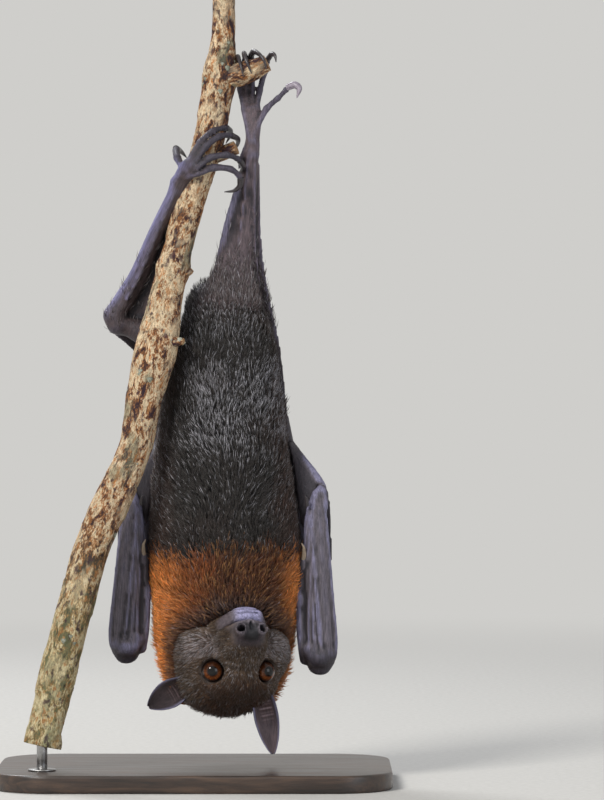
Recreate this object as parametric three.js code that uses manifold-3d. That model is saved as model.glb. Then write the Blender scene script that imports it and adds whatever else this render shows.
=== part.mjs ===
// A life-size fruit bat, a dark flying fox with a russet collar, hanging head down from a cut length of
// branch.
// Millimetres, +Z up, -Y the way the belly and the face look. The animal's own left is at -X.
// Solids of the flesh reach out to the tips of the coat. The origin is under the middle of the stand's base.
import * as THREE from "three";
import { mergeVertices } from "three/addons/utils/BufferGeometryUtils.js";
import Module from "manifold-3d";

const wasm = await Module();
wasm.setup();

// ---- driving dimensions ----------------------------------------------------------------------

const GAP = 0.35; // clearance between neighbouring solids
const BASE = { length: 224, depth: 150, thick: 10, corner: 34, bevel: 1.2 };
const BODY_X = 17; // the trunk's middle plane, from the middle of the base

// Stations of a limb are [x, y, z, half width, half depth], the middle plane of the trunk at x = 0.
const TRUNK = [
  [-0.5, 9, 286, 16, 9],
  [-0.5, 8, 275, 21.5, 15],
  [-0.2, 6, 262, 27.5, 20],
  [0.3, 5, 246, 32, 24],
  [-1, 3, 218, 36.5, 29],
  [-1.7, 1, 189, 40, 31],
  [-0.8, 0, 161, 43, 33],
  [0.3, -1, 132, 44.6, 35],
  [0.5, 0, 104, 44.4, 35],
  [0, 3, 81, 42.2, 33],
  [0.5, 7, 64, 38.5, 28],
  [1.5, 10, 52, 33, 21],
];
const TRUNK_CUTS = { neck: 84, chest: 146, belly: 222 }; // heights where the trunk is parted

// The head's own frame: x to the animal's right, y to the nose, z to the crown, zero midway between the eyes.
const HEAD = { at: [8.6, -27, 64.7], yaw: 17, pitch: 28, roll: -1.5 };
const EYE = { x: 14.9, y: -1.4, z: -0.9, radius: 6.4 };
const MUZZLE_CUT = 5; // y of the cut between the head and the muzzle
const MOUTH_Z = -15.8; // height of the mouth's line
const EAR_LENGTH = 35;
const SKIN_THICK = 1.2; // wing skin, ears and the webs of the legs

const BRANCH = [
  [-0.9, 8, 454, 6.4],
  [-0.8, 7, 431, 6.4],
  [-1, 6, 418, 7.2],
  [-2.6, 5, 404, 9.6],
  [-4.8, 3.5, 389, 9],
  [-10.5, 0, 360, 9],
  [-18.5, -4, 332, 8.8],
  [-26.5, -9, 303, 8.6],
  [-33.3, -15, 275, 9.2],
  [-38.2, -20, 246, 11.4],
  [-44.8, -25, 218, 9.6],
  [-50.4, -28.5, 189, 9.2],
  [-62.8, -32, 161, 10.6],
  [-74.4, -35, 132, 10.6],
  [-82, -37, 104, 10.2],
  [-90.3, -38, 75, 10.3],
  [-96.6, -39, 47, 9.8],
  [-101.5, -40, 24, 9.2],
];
// Short broken side twigs.
const TWIGS = [
  [[-2, 4, 401, 6.4], [8, 2, 403.2, 6.6], [17, 0, 406, 6], [24.5, -1, 409.6, 4.8]],
  [[-8, -1, 356, 4.6], [0, -3, 358.5, 4.4], [6.6, -4.5, 361.5, 4]],
  [[-38, -21, 250, 5], [-28, -25, 250.5, 3], [-22.5, -27.5, 251, 1.6]],
  [[-30, -13, 288, 3.4], [-20.5, -15, 289.5, 1.8], [-18, -15.5, 291.5, 1.4]],
];

// ---- shapes ----------------------------------------------------------------------------------

const vec = (p) => new THREE.Vector3(p[0], p[1], p[2]);

// A closed mesh from vertices and triangles, as a solid that manifold-3d can cut.
function solidOf(geometry) {
  const bare = geometry.clone();
  bare.deleteAttribute("normal");
  bare.deleteAttribute("uv");
  const merged = mergeVertices(bare, 1e-4);
  return new wasm.Manifold(
    new wasm.Mesh({
      numProp: 3,
      vertProperties: new Float32Array(merged.attributes.position.array),
      triVerts: new Uint32Array(merged.index.array),
    }),
  );
}

function geometryOf(vertices, triangles) {
  const geometry = new THREE.BufferGeometry();
  geometry.setAttribute("position", new THREE.Float32BufferAttribute(vertices, 3));
  geometry.setIndex(triangles);
  return geometry;
}

// A smooth tube of oval sections through stations [x, y, z, half width, half depth], closed by rounded ends.
// The width lies along across, as near as the path lets it. A tube with grow only cuts its neighbours: it is
// that much larger all round, and its fewer sides reach round the finer tube.
function limb(stations, options = {}) {
  const { across = [1, 0, 0], steps = 1, cap = 0.8, capRings = 1, grow = 0, ripple = null } = options;
  const sides = grow ? Math.max(6, Math.round((options.sides ?? 10) * 0.6)) : options.sides ?? 10;
  const swollen = grow ? 1 / Math.cos(Math.PI / sides) : 1;
  const path = new THREE.CatmullRomCurve3(stations.map(vec), false, "centripetal");
  const sizes = new THREE.CatmullRomCurve3(
    stations.map((s) => new THREE.Vector3(s[3], s[4] ?? s[3], 0)), false, "catmullrom", 0.5);
  const spans = (stations.length - 1) * steps;
  const at = (t) => {
    const size = sizes.getPoint(t);
    const [wide, deep] = [size.x * swollen + grow, size.y * swollen + grow];
    return { centre: path.getPoint(t), along: path.getTangent(t), wide, deep };
  };
  const rings = [];
  const capRing = (t, sign, turn) => {
    const end = at(t);
    const reach = cap * Math.min(end.wide, end.deep);
    end.centre.addScaledVector(end.along, sign * reach * Math.sin(turn));
    end.wide *= Math.cos(turn);
    end.deep *= Math.cos(turn);
    return end;
  };
  for (let i = capRings; i >= 1; i--) rings.push(capRing(0, -1, (i / (capRings + 1)) * 1.45));
  for (let i = 0; i <= spans; i++) rings.push(at(i / spans));
  for (let i = 1; i <= capRings; i++) rings.push(capRing(1, 1, (i / (capRings + 1)) * 1.45));
  const vertices = [];
  const reference = vec(across);
  rings.forEach((ring, r) => {
    const wideWay = reference.clone().addScaledVector(ring.along, -reference.dot(ring.along)).normalize();
    const deepWay = new THREE.Vector3().crossVectors(ring.along, wideWay);
    for (let s = 0; s < sides; s++) {
      const angle = (2 * Math.PI * s) / sides;
      const swell = ripple ? ripple(angle, r) : 1;
      const point = ring.centre.clone()
        .addScaledVector(wideWay, ring.wide * swell * Math.cos(angle))
        .addScaledVector(deepWay, ring.deep * swell * Math.sin(angle));
      vertices.push(point.x, point.y, point.z);
    }
  });
  const tip = (t, sign) => {
    const end = at(t);
    const reach = cap * Math.min(end.wide, end.deep);
    return end.centre.addScaledVector(end.along, sign * reach);
  };
  const first = tip(0, -1);
  const last = tip(1, 1);
  const firstIndex = vertices.length / 3;
  vertices.push(first.x, first.y, first.z, last.x, last.y, last.z);
  const triangles = [];
  for (let s = 0; s < sides; s++) {
    const next = (s + 1) % sides;
    triangles.push(firstIndex, next, s);
    for (let r = 0; r + 1 < rings.length; r++) {
      const a = r * sides;
      const b = a + sides;
      triangles.push(a + s, a + next, b + s, a + next, b + next, b + s);
    }
    const end = (rings.length - 1) * sides;
    triangles.push(end + s, end + next, firstIndex + 1);
  }
  return solidOf(geometryOf(vertices, triangles));
}

// A ball or egg: centre, three radii, and how many sides it has. With grow it is a coarser cutter, as above.
function egg(centre, radii, grow = 0, fine = 12) {
  const sides = grow ? Math.max(8, Math.round(fine * 0.6)) : fine;
  const swollen = grow ? 1.02 / Math.cos(Math.PI / sides) : 1;
  const geometry = new THREE.SphereGeometry(1, sides, Math.round(sides * 0.62));
  geometry.scale(...radii.map((radius) => radius * swollen + grow));
  geometry.translate(...centre);
  return solidOf(geometry);
}

// A closed sheet: surface(u, v) gives a point for u and v from 0 to 1, with half of thick on each side of it.
function sheet(surface, alongSteps, acrossSteps, thick) {
  const grid = [];
  for (let i = 0; i <= alongSteps; i++)
    for (let j = 0; j <= acrossSteps; j++) grid.push(surface(i / alongSteps, j / acrossSteps));
  const columns = acrossSteps + 1;
  const point = (i, j) =>
    grid[Math.min(Math.max(i, 0), alongSteps) * columns + Math.min(Math.max(j, 0), acrossSteps)];
  const vertices = [];
  for (const side of [1, -1])
    for (let i = 0; i <= alongSteps; i++)
      for (let j = 0; j <= acrossSteps; j++) {
        const alongWay = point(i + 1, j).clone().sub(point(i - 1, j));
        const acrossWay = point(i, j + 1).clone().sub(point(i, j - 1));
        const normal = alongWay.cross(acrossWay).normalize();
        const p = point(i, j).clone().addScaledVector(normal, (side * thick) / 2);
        vertices.push(p.x, p.y, p.z);
      }
  const back = (alongSteps + 1) * columns;
  const triangles = [];
  const quad = (a, b, c, d) => triangles.push(a, b, c, a, c, d);
  for (let i = 0; i < alongSteps; i++)
    for (let j = 0; j < acrossSteps; j++) {
      const a = i * columns + j;
      quad(a, a + columns, a + columns + 1, a + 1);
      quad(back + a, back + a + 1, back + a + columns + 1, back + a + columns);
    }
  for (let i = 0; i < alongSteps; i++) {
    const low = i * columns;
    const high = low + acrossSteps;
    quad(low, back + low, back + low + columns, low + columns);
    quad(high, high + columns, back + high + columns, back + high);
  }
  for (let j = 0; j < acrossSteps; j++) {
    const end = alongSteps * columns + j;
    quad(j, j + 1, back + j + 1, back + j);
    quad(end, back + end, back + end + 1, end + 1);
  }
  return solidOf(geometryOf(vertices, triangles));
}

const union = (solids) => solids.reduce((all, one) => all.add(one));
const clear = (solid, cutters) => cutters.reduce((left, cutter) => left.subtract(cutter), solid);

// The pieces left after a cut, the largest first, so that crumbs can be left out.
const pieces = (solid) => solid.decompose().sort((one, other) => other.volume() - one.volume());

// The part of a solid in front of a plane through the height along normal, less half a gap.
const beyond = (solid, normal, height) => solid.trimByPlane(normal, height + GAP / 2);
const between = (solid, low, high) => beyond(beyond(solid, [0, 0, 1], low), [0, 0, -1], -high);

// A smooth curve through points, read at t from 0 to 1.
const curve = (points) => new THREE.CatmullRomCurve3(points.map(vec), false, "centripetal");

// ---- head --------------------------------------------------------------------------------------

const degrees = THREE.MathUtils.degToRad;

// The matrix from the head's own frame to the body's.
function headFrame() {
  const yaw = degrees(HEAD.yaw);
  const pitch = degrees(HEAD.pitch);
  const nose = new THREE.Vector3(
    Math.sin(yaw) * Math.cos(pitch), -Math.cos(yaw) * Math.cos(pitch), Math.sin(pitch));
  const side = new THREE.Vector3(Math.cos(yaw), Math.sin(yaw), 0);
  side.applyAxisAngle(nose, degrees(HEAD.roll));
  const crown = new THREE.Vector3().crossVectors(side, nose);
  return new THREE.Matrix4().makeBasis(side, nose, crown).setPosition(...HEAD.at);
}
const HEAD_FRAME = headFrame();
const inHead = (solid) => solid.transform(HEAD_FRAME.elements);
const headPoint = (x, y, z) => vec([x, y, z]).applyMatrix4(HEAD_FRAME);

const SNOUT = [
  [0, -6, -4, 17, 13],
  [0, 8, -6.5, 13.4, 10],
  [0, 20, -9, 11.8, 7.8],
  [0, 29, -9.6, 9.6, 6.4],
];
const JAW = [
  [0, -20, -16, 20, 11],
  [0, -2, -18.5, 16.5, 9],
  [0, 14, -20.4, 13, 6.6],
  [0, 25, -21.4, 10.8, 5.4],
];

function headSolid(grow) {
  const skull = egg([0, -23, -2.5], [28, 23, 16.4], grow, 12);
  const brow = egg([0, -7, 0.8], [19, 16, 13], grow, 10);
  const snout = limb(SNOUT, { sides: 12, cap: 0.55, grow });
  const nostrils = [-1, 1].map((side) =>
    limb([[side * 3.4, 27, -8, 3.2, 3.4], [side * 5.4, 32.6, -8.4, 2.4, 2.6]], { sides: 6, grow }));
  const cheeks = [-1, 1].map((side) => egg([side * 16, -14, -8.5], [13, 16, 13.5], grow, 8));
  const jaw = limb(JAW, { sides: 8, grow });
  return inHead(union([skull, brow, snout, ...nostrils, ...cheeks, jaw]));
}

// A cupped leaf with a rounded tip: its base, the way it points, the way its width lies, and its cup's depth.
const EAR_HALF_WIDTHS = [
  [0, 6.4, 0], [0.2, 7.8, 0], [0.45, 8, 0], [0.7, 6.3, 0], [0.88, 3.8, 0], [1, 1.3, 0],
];
const EAR_WRAP = 1.15; // half the angle, in radians, that the ear is rolled through

function ear({ base, points, width, cup, bend }) {
  const along = vec(points).normalize();
  const across = vec(width);
  across.addScaledVector(along, -across.dot(along)).normalize();
  const back = new THREE.Vector3().crossVectors(along, across);
  if (back.y < 0) back.negate();
  const outline = new THREE.CatmullRomCurve3(EAR_HALF_WIDTHS.map(vec));
  return (u, v) => {
    const { x: reach, y: half } = outline.getPoint(u);
    const turn = (v * 2 - 1) * EAR_WRAP;
    const curl = cup * (1 - 0.75 * reach);
    return vec(base)
      .addScaledVector(along, EAR_LENGTH * reach)
      .addScaledVector(across, (half * Math.sin(turn)) / Math.sin(EAR_WRAP))
      .addScaledVector(back, curl * (Math.cos(turn) - 0.4) + bend * reach * reach);
  };
}

const EARS = {
  left: {
    base: [-24, -15, 55.2], points: [-0.555, 0.777, -0.293], width: [0.54, 0, -0.84], cup: 5, bend: -1,
  },
  right: {
    base: [21.4, -8, 51], points: [0.19, -0.04, -0.95], width: [1, 0.15, 0.1], cup: 5, bend: 3,
  },
};

// ---- limbs -------------------------------------------------------------------------------------

const KNUCKLE_Z = 168;
const WRIST_Z = 70;
// The left hand is folded a little shorter and wider out than the right one.
const LEFT_WRIST = { up: 6.5, out: 1.4 };

const SIDES = { left: -1, right: 1 };

// The stations of an arm, made for the right side, carried to a side.
function armOn(side, stations) {
  if (side > 0) return stations;
  return stations.map(([x, y, z, ...sizes]) => {
    const drop = THREE.MathUtils.clamp((KNUCKLE_Z - z) / (KNUCKLE_Z - WRIST_Z), 0, 1);
    return [-x - LEFT_WRIST.out * drop, y, z + LEFT_WRIST.up * drop, ...sizes];
  });
}

function upperArm(side, grow = 0) {
  return limb([
    [side * 30, 8, 114, 13, 13],
    [side * 30, 14, 150, 11, 11],
    [side * 29.5, 19, 186, 9, 9],
    [side * 31, 22, 216, 6.5, 6.5],
  ], { grow, sides: 8 });
}

function forearm(side, grow = 0) {
  return limb(armOn(side, [
    [34, 24, 207, 4.6, 4.6],
    [37.4, 22.3, 190, 5.2, 5.2],
    [43.6, 17, 150, 4.6, 4.6],
    [48.8, 11.5, 112, 4.2, 4.2],
    [52.6, 6.5, 86, 4.4, 4.4],
  ]), { grow, sides: 8 });
}

// The folded hand: the wrist's pad and the skin, with long finger bones that show through it as ridges.
const HAND = [
  [53.6, -2, 165, 3.4, 2.8],
  [52.2, -3.4, 150, 6.6, 4.4],
  [53, -4.4, 126, 8, 5.6],
  [54, -4.8, 104, 9, 6.4],
  [54.8, -4.2, 82, 10.4, 7.2],
  [54.8, -3, 72, 9.8, 7.4],
  [54, -2, 66, 7.2, 6],
];
const HAND_SIDES = 12;
const BONE_RIDGE = 0.1; // height of a bone's ridge, as a share of the hand's half width

function hand(side, grow = 0) {
  const ridge = (angle) => BONE_RIDGE * Math.cos((angle * HAND_SIDES) / 2) * Math.abs(Math.sin(angle));
  const ripple = (angle) => 1 + (grow ? 0.6 * BONE_RIDGE : ridge(angle));
  return limb(armOn(side, HAND), { grow, sides: HAND_SIDES, cap: 0.7, ripple });
}

function thumb(side, grow = 0) {
  return limb(armOn(side, [
    [46, -2, 70, 3.2], [43.6, -5, 84, 2.6], [43, -5.5, 104, 2.1], [43.8, -5, 116, 2], [44.4, -5.6, 122, 1.9],
  ]), { grow, sides: 8 });
}

const THUMB_CLAW = [
  [44.6, -5.8, 124.6, 1.6], [45.4, -6.8, 129.4, 1.3], [45.3, -8.4, 133.4, 0.9], [44.2, -9.8, 136, 0.35],
];
const INDEX_CLAW = [[47, -8.2, 158.6, 1], [46.8, -9, 161.4, 0.8], [46, -10, 163, 0.35]];

// The skin behind the arm: from the leg past the flank to the folded hand. Its outer edge is free, and the
// finger joints past the knuckle carry it up and in behind the flank.
const WING_SKIN = {
  left: {
    inner: [
      [-27, 4, 330], [-45, 12, 293], [-52, 17, 266], [-36, 28, 240], [-27, 31, 214],
      [-27, 32, 190], [-27, 32, 172], [-28, 29, 146], [-31, 24, 112],
    ],
    outer: [
      [-30, 5, 331], [-53, 13, 291], [-67, 15, 263], [-50, 21, 244], [-42, 26, 218],
      [-42, 18, 189], [-56, 4, 170], [-60, 7, 150], [-60, 8.5, 96],
    ],
  },
  right: {
    inner: [
      [15, 6, 352], [14.5, 10, 336], [14, 14, 306], [15, 21, 280], [21, 29, 250],
      [26, 31, 214], [27, 32, 190], [27, 32, 172], [28, 29, 146], [31, 24, 112],
    ],
    outer: [
      [19, 6, 352], [19.4, 9, 336], [20.4, 13, 306], [24, 18.5, 280], [30.5, 25, 250],
      [34, 29, 220], [36, 24, 198], [44.5, 13, 185], [56, 4, 170], [60, 7, 150], [60, 8.5, 96],
    ],
  },
};
const FINGER_END = [
  [56, 2, 168, 2.1], [49.5, 8, 178, 1.6], [42, 15, 187.5, 1.5], [35, 24, 198, 1.4], [30, 29, 204, 1.4],
];

function wingSkin(name, thick) {
  const inner = curve(WING_SKIN[name].inner);
  const outer = curve(WING_SKIN[name].outer);
  const skin = sheet((u, v) => inner.getPoint(u).lerp(outer.getPoint(u), v), 12, 2, thick);
  return skin.add(limb(armOn(SIDES[name], FINGER_END), { sides: 6, grow: (thick - SKIN_THICK) / 2 }));
}

// The narrow skin along the inside of each leg.
const LEG_WEB = {
  left: {
    leg: [[-27, -2, 333], [-38, 1, 313], [-48, 6, 288], [-56, 9, 270], [-50, 11, 256]],
    free: [[-22, -3, 333], [-26, 2, 313], [-30, 7, 288], [-30, 9, 268], [-26, 10, 254]],
  },
  right: {
    leg: [[12, 5, 338], [11, 8, 318], [9.5, 12, 296], [8, 12, 276], [8, 10, 262]],
    free: [[7, 4, 338], [1, 7, 318], [-4, 10, 296], [-9, 10, 276], [-13, 9, 262]],
  },
};

function legWeb(name) {
  const leg = curve(LEG_WEB[name].leg);
  const free = curve(LEG_WEB[name].free);
  return sheet((u, v) => leg.getPoint(u).lerp(free.getPoint(u), v), 6, 2, SKIN_THICK);
}

const THIGHS = {
  left: [[-14, 8, 232, 13, 12], [-30, 9, 247, 12, 11], [-50, 9, 257.5, 9, 8.5], [-61, 8.5, 261.5, 7.2, 7]],
  right: [[10, 8, 238, 12, 12], [9.6, 11, 256, 11, 11], [9.2, 14, 272, 9, 9], [8.8, 14, 281, 7.6, 7.6]],
};
const SHINS = {
  left: [
    [-63.2, 8, 266, 6, 6], [-55.5, 6, 278, 6, 5.6], [-48.6, 3, 290, 5.4, 5.2],
    [-38.4, -2, 314, 4.6, 4.6], [-27, -7, 337, 4.4, 4.2],
  ],
  right: [
    [9, 13.5, 287, 8, 6.4], [10.4, 11, 304, 7.4, 5.6], [12, 8.4, 326, 6.2, 5],
    [13.6, 6, 342, 5.2, 4.6], [15.2, 4, 358, 4.4, 4.2],
  ],
};

// Feet: the sole, the heel's spur, and five toes with a claw on the end of each.
const FEET = {
  left: {
    sole: [[-26, -8.5, 341, 4.8, 3.6], [-22, -11.5, 346, 6, 3.8], [-18.5, -14, 350.5, 6.2, 3.4]],
    spur: [[-22, -8, 338, 1.6], [-18.6, -7.5, 330, 1.3], [-18, -7, 325, 0.9]],
    toes: [
      [[-23.5, -11.8, 350, 2.2], [-27.6, -9.4, 355.4, 2.1], [-28.6, -3.8, 360.6, 2]],
      [
        [-19.5, -14, 354, 2.2], [-13.4, -14.6, 363.6, 2.2],
        [-6.4, -10.8, 370.2, 2.1], [-0.6, -3.6, 372.4, 1.9],
      ],
      [[-17.5, -15, 353, 2.2], [-10, -15.2, 361.6, 2.3], [-2.8, -12, 367.2, 2.1], [2.4, -7, 368.2, 1.9]],
      [[-15.5, -15, 351, 2.2], [-7.6, -15.2, 355, 2.3], [1.4, -13.2, 356.6, 2.1], [7.4, -8.6, 354.8, 1.9]],
      [[-14.5, -14.4, 347.5, 2.2], [-5.6, -14, 349.4, 2.3], [3.4, -11.6, 348.8, 2.1], [8.2, -8, 345.4, 1.9]],
    ],
    claws: [
      [[-28.2, -1.2, 361.8, 1.7], [-27.2, 3.2, 361.6, 1.4], [-25, 7.6, 360.2, 1], [-22.2, 10.8, 357.6, 0.35]],
      [[1.6, -0.4, 372.4, 1.6], [3.4, 4.6, 371, 1.35], [2.8, 9.4, 368.4, 0.9], [0.8, 12, 365, 0.35]],
      [[4.8, -4.6, 367.8, 1.6], [7.6, 0, 366.4, 1.35], [7.4, 5, 363.6, 0.9], [5.4, 8, 360.4, 0.35]],
      [[9.2, -6, 353.2, 1.6], [10.6, -2, 350.8, 1.35], [9.6, 2.4, 348.2, 0.9], [6.8, 5.4, 346.4, 0.35]],
      [[9.2, -6.6, 343, 1.6], [8.6, -4.4, 339.2, 1.35], [5.2, -3, 336.8, 0.9], [0.4, -3, 336.2, 0.35]],
    ],
  },
  right: {
    sole: [[15.8, 4, 363, 4.2, 3.6], [16.2, 4.6, 374, 5.2, 3.5], [15, 6.6, 384, 6.4, 3.2]],
    spur: [[12, 3, 361, 1.6], [9, 3, 355, 1.2], [8.4, 3, 350, 0.8]],
    toes: [
      [[11.6, 7, 383, 2], [9, 11.8, 395, 2.1], [7.8, 14, 404, 2], [7.8, 12, 409.8, 1.9]],
      [[13.4, 7.4, 384, 2], [12, 12.2, 396, 2.1], [11.8, 13, 406, 2], [11.6, 9.6, 412, 1.9]],
      [[15.6, 7.4, 384, 2], [15.6, 12.2, 396, 2.1], [15.8, 12.6, 406, 2], [15.4, 9.2, 412.4, 1.9]],
      [[17.8, 7, 383, 2], [20, 11, 395, 2.1], [22.6, 11.4, 405, 2], [24, 8.6, 410.6, 1.9]],
      [[17.4, 5, 373, 2.4], [24, 3.8, 384, 2.1], [30.4, 0.6, 389.6, 1.9], [35, -2.4, 394.2, 1.8]],
    ],
    claws: [
      [
        [7.8, 9.2, 411.8, 1.6], [7.6, 4.6, 413.6, 1.4], [8, 0, 412.6, 1.2],
        [9.4, -5.4, 407.8, 0.8], [10.8, -6.8, 402.4, 0.35],
      ],
      [
        [11.6, 6.4, 414, 1.6], [11.2, 2, 415.4, 1.4], [11.6, -3.4, 413.6, 1.2],
        [13.2, -6.6, 408.8, 0.8], [15.4, -7, 403.6, 0.35],
      ],
      [
        [15.4, 6, 415, 1.6], [16.8, 1.6, 416.4, 1.45], [20, -4.6, 414.2, 1.1],
        [22.6, -7.2, 410.6, 0.8], [23.8, -7.2, 406, 0.35],
      ],
      [[25.2, 5.4, 413, 1.5], [27, 1.8, 415, 1.3], [28.8, -1.6, 413.8, 0.9], [29.4, -3.2, 410.4, 0.35]],
      [[36.8, -3.6, 395.9, 1.7], [40.2, -5, 396.9, 1.8], [42.6, -6.2, 394.6, 1.5], [41.4, -6.6, 389.8, 0.4]],
    ],
  },
};

function foot(name, grow = 0) {
  const { sole, spur, toes } = FEET[name];
  const rods = toes.map((toe) => limb(toe, { grow, sides: 5 }));
  const heel = limb(spur, { grow, sides: 5 });
  return union([limb(sole, { grow, sides: 8 }), heel, ...rods]);
}

const claw = (stations, grow = 0) => limb(stations, { grow, sides: 5, capRings: 0, cap: 0.5 });

// ---- perch and stand -----------------------------------------------------------------------------

// A branch of uneven bark with broken twigs. Its ripple is a sum of slow waves, the same on each build.
function perch(grow = 0) {
  const bark = (angle, ring) =>
    1 + 0.035 * Math.sin(2 * angle + ring * 0.9) + 0.03 * Math.sin(3 * angle - ring * 1.7);
  const round = (stations) => stations.map(([x, y, z, r]) => [x, y, z, r, r]);
  const stem = limb(round(BRANCH), { grow, sides: 8, cap: 0.12, ripple: bark });
  const twigs = TWIGS.map((twig) => limb(round(twig), { grow, sides: 5, cap: 0.3, capRings: 0 }));
  return union([stem, ...twigs]);
}

function standBase() {
  const { length, depth, thick, corner, bevel } = BASE;
  const outline = new THREE.Shape();
  const x = length / 2 - bevel;
  const y = depth / 2 - bevel;
  const r = corner - bevel;
  outline.moveTo(-x + r, -y);
  outline.lineTo(x - r, -y);
  outline.absarc(x - r, -y + r, r, -Math.PI / 2, 0);
  outline.absarc(x - r, y - r, r, 0, Math.PI / 2);
  outline.absarc(-x + r, y - r, r, Math.PI / 2, Math.PI);
  outline.absarc(-x + r, -y + r, r, Math.PI, 1.5 * Math.PI);
  const geometry = new THREE.ExtrudeGeometry(outline, {
    depth: thick - 2 * bevel, bevelSize: bevel, bevelThickness: bevel, bevelSegments: 1, curveSegments: 3,
  });
  geometry.translate(-BODY_X, 0, bevel);
  return solidOf(geometry);
}

// The pin that holds the branch up: it stands on the base and goes a little way into a socket in the branch.
const PIN = { radius: 3, length: 24 };

function standRod(grow = 0) {
  const foot = BRANCH.at(-1);
  const geometry = new THREE.CylinderGeometry(PIN.radius + grow, PIN.radius + grow, PIN.length + grow, 16);
  geometry.rotateX(Math.PI / 2);
  geometry.translate(foot[0], foot[1], BASE.thick + GAP + (PIN.length - grow) / 2 + grow);
  return solidOf(geometry);
}

// ---- the parts ---------------------------------------------------------------------------------------

const COLOURS = {
  fur: 0x1d1a1a, collar: 0x6e3414, skin: 0x2b272c, ear: 0x35303a, eye: 0x4a2008,
  claw: 0x17161a, bark: 0x8a6a48, stand: 0x3a3a3c, rod: 0x8c8c90,
};
const ROUGHNESS = {
  fur: 0.9, collar: 0.9, skin: 0.55, ear: 0.6, eye: 0.05, claw: 0.3, bark: 0.9, stand: 0.5, rod: 0.3,
};

const part = new THREE.Group();
part.position.x = BODY_X;

function add(name, solid, finish, parent = part) {
  const found = pieces(solid)[0].getMesh();
  const geometry = geometryOf(found.vertProperties, Array.from(found.triVerts));
  geometry.computeVertexNormals();
  const material = new THREE.MeshStandardMaterial({
    color: COLOURS[finish], roughness: ROUGHNESS[finish], metalness: finish === "rod" ? 0.9 : 0,
  });
  const mesh = new THREE.Mesh(geometry, material);
  mesh.name = name;
  parent.add(mesh);
}

// Solids made later are cut back from those made before them: taken holds the earlier ones, grown by the gap.
const taken = [];
const take = (grown) => taken.push(grown);

function addPerchAndStand() {
  const stand = new THREE.Group();
  part.add(stand);
  add("stand_base", standBase(), "stand", stand);
  add("stand_rod", standRod(), "rod", stand);
  add("perch", clear(perch(), [standRod(GAP)]), "bark", stand);
  take(perch(GAP));
}

function addFeet() {
  for (const name of Object.keys(SIDES)) {
    const feet = FEET[name];
    feet.claws.forEach((stations, i) => {
      add(`claw_${name}_${i + 1}`, clear(claw(stations), taken), "claw");
    });
    feet.claws.forEach((stations) => take(claw(stations, GAP)));
    add(`foot_${name}`, clear(foot(name), taken), "skin");
    take(foot(name, GAP));
  }
}

function addHead() {
  for (const [name, side] of Object.entries(SIDES)) {
    const ball = (grow) => inHead(egg([side * EYE.x, EYE.y, EYE.z], Array(3).fill(EYE.radius), grow, 10));
    add(`eye_${name}`, ball(0), "eye");
    take(ball(GAP));
  }
  const head = clear(headSolid(0), taken);
  const nose = new THREE.Vector3().setFromMatrixColumn(HEAD_FRAME, 1);
  const crown = new THREE.Vector3().setFromMatrixColumn(HEAD_FRAME, 2);
  const muzzleAt = headPoint(0, MUZZLE_CUT, 0).dot(nose);
  const mouthAt = headPoint(0, 0, MOUTH_Z).dot(crown);
  const upper = beyond(head, crown.toArray(), mouthAt);
  add("muzzle", beyond(upper, nose.toArray(), muzzleAt), "skin");
  add("head", beyond(upper, nose.clone().negate().toArray(), -muzzleAt), "fur");
  add("jaw", beyond(head, crown.clone().negate().toArray(), -mouthAt), "fur");
  take(headSolid(GAP));
}

function addHands() {
  for (const [name, side] of Object.entries(SIDES)) {
    for (const [label, stations] of [["thumb_claw", THUMB_CLAW], ["index_claw", INDEX_CLAW]]) {
      add(`${label}_${name}`, clear(claw(armOn(side, stations)), taken), "claw");
      take(claw(armOn(side, stations), GAP));
    }
    for (const [label, make] of [["thumb", thumb], ["hand", hand], ["forearm", forearm]]) {
      add(`${label}_${name}`, clear(make(side), taken), "skin");
      take(make(side, GAP));
    }
  }
}

function addLegs() {
  for (const name of Object.keys(SIDES)) {
    const rows = [["shin", SHINS[name], "skin"], ["thigh", THIGHS[name], "fur"]];
    for (const [label, stations, finish] of rows) {
      add(`${label}_${name}`, clear(limb(stations, { sides: 8 }), taken), finish);
      take(limb(stations, { sides: 8, grow: GAP }));
    }
  }
}

function addTrunk() {
  const trunk = clear(limb(TRUNK, { sides: 12, cap: 0.5 }), taken);
  add("neck", beyond(trunk, [0, 0, -1], -TRUNK_CUTS.neck), "collar");
  add("chest", between(trunk, TRUNK_CUTS.neck, TRUNK_CUTS.chest), "fur");
  add("belly", between(trunk, TRUNK_CUTS.chest, TRUNK_CUTS.belly), "fur");
  add("hips", beyond(trunk, [0, 0, 1], TRUNK_CUTS.belly), "fur");
  take(limb(TRUNK, { sides: 12, cap: 0.5, grow: GAP }));
}

function addUpperArms() {
  for (const [name, side] of Object.entries(SIDES)) {
    add(`upper_arm_${name}`, clear(upperArm(side), taken), "fur");
    take(upperArm(side, GAP));
  }
}

// Thin pieces come last and stop at whatever they grow from. The arm parts the wing's skin in two: one on the
// leg and the flank, and a fold between the flank and the hand.
function addSkins() {
  for (const name of Object.keys(SIDES)) {
    add(`ear_${name}`, clear(sheet(ear(EARS[name]), 7, 5, SKIN_THICK), taken), "ear");
    const [flank, fold] = pieces(clear(wingSkin(name, SKIN_THICK), taken));
    add(`wing_skin_${name}`, flank, "skin");
    add(`hand_skin_${name}`, fold, "skin");
    take(wingSkin(name, SKIN_THICK + 2 * GAP));
    add(`leg_web_${name}`, clear(legWeb(name), taken), "skin");
  }
}

addPerchAndStand();
addFeet();
addHead();
addHands();
addUpperArms();
addLegs();
addTrunk();
addSkins();

export default part;
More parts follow.
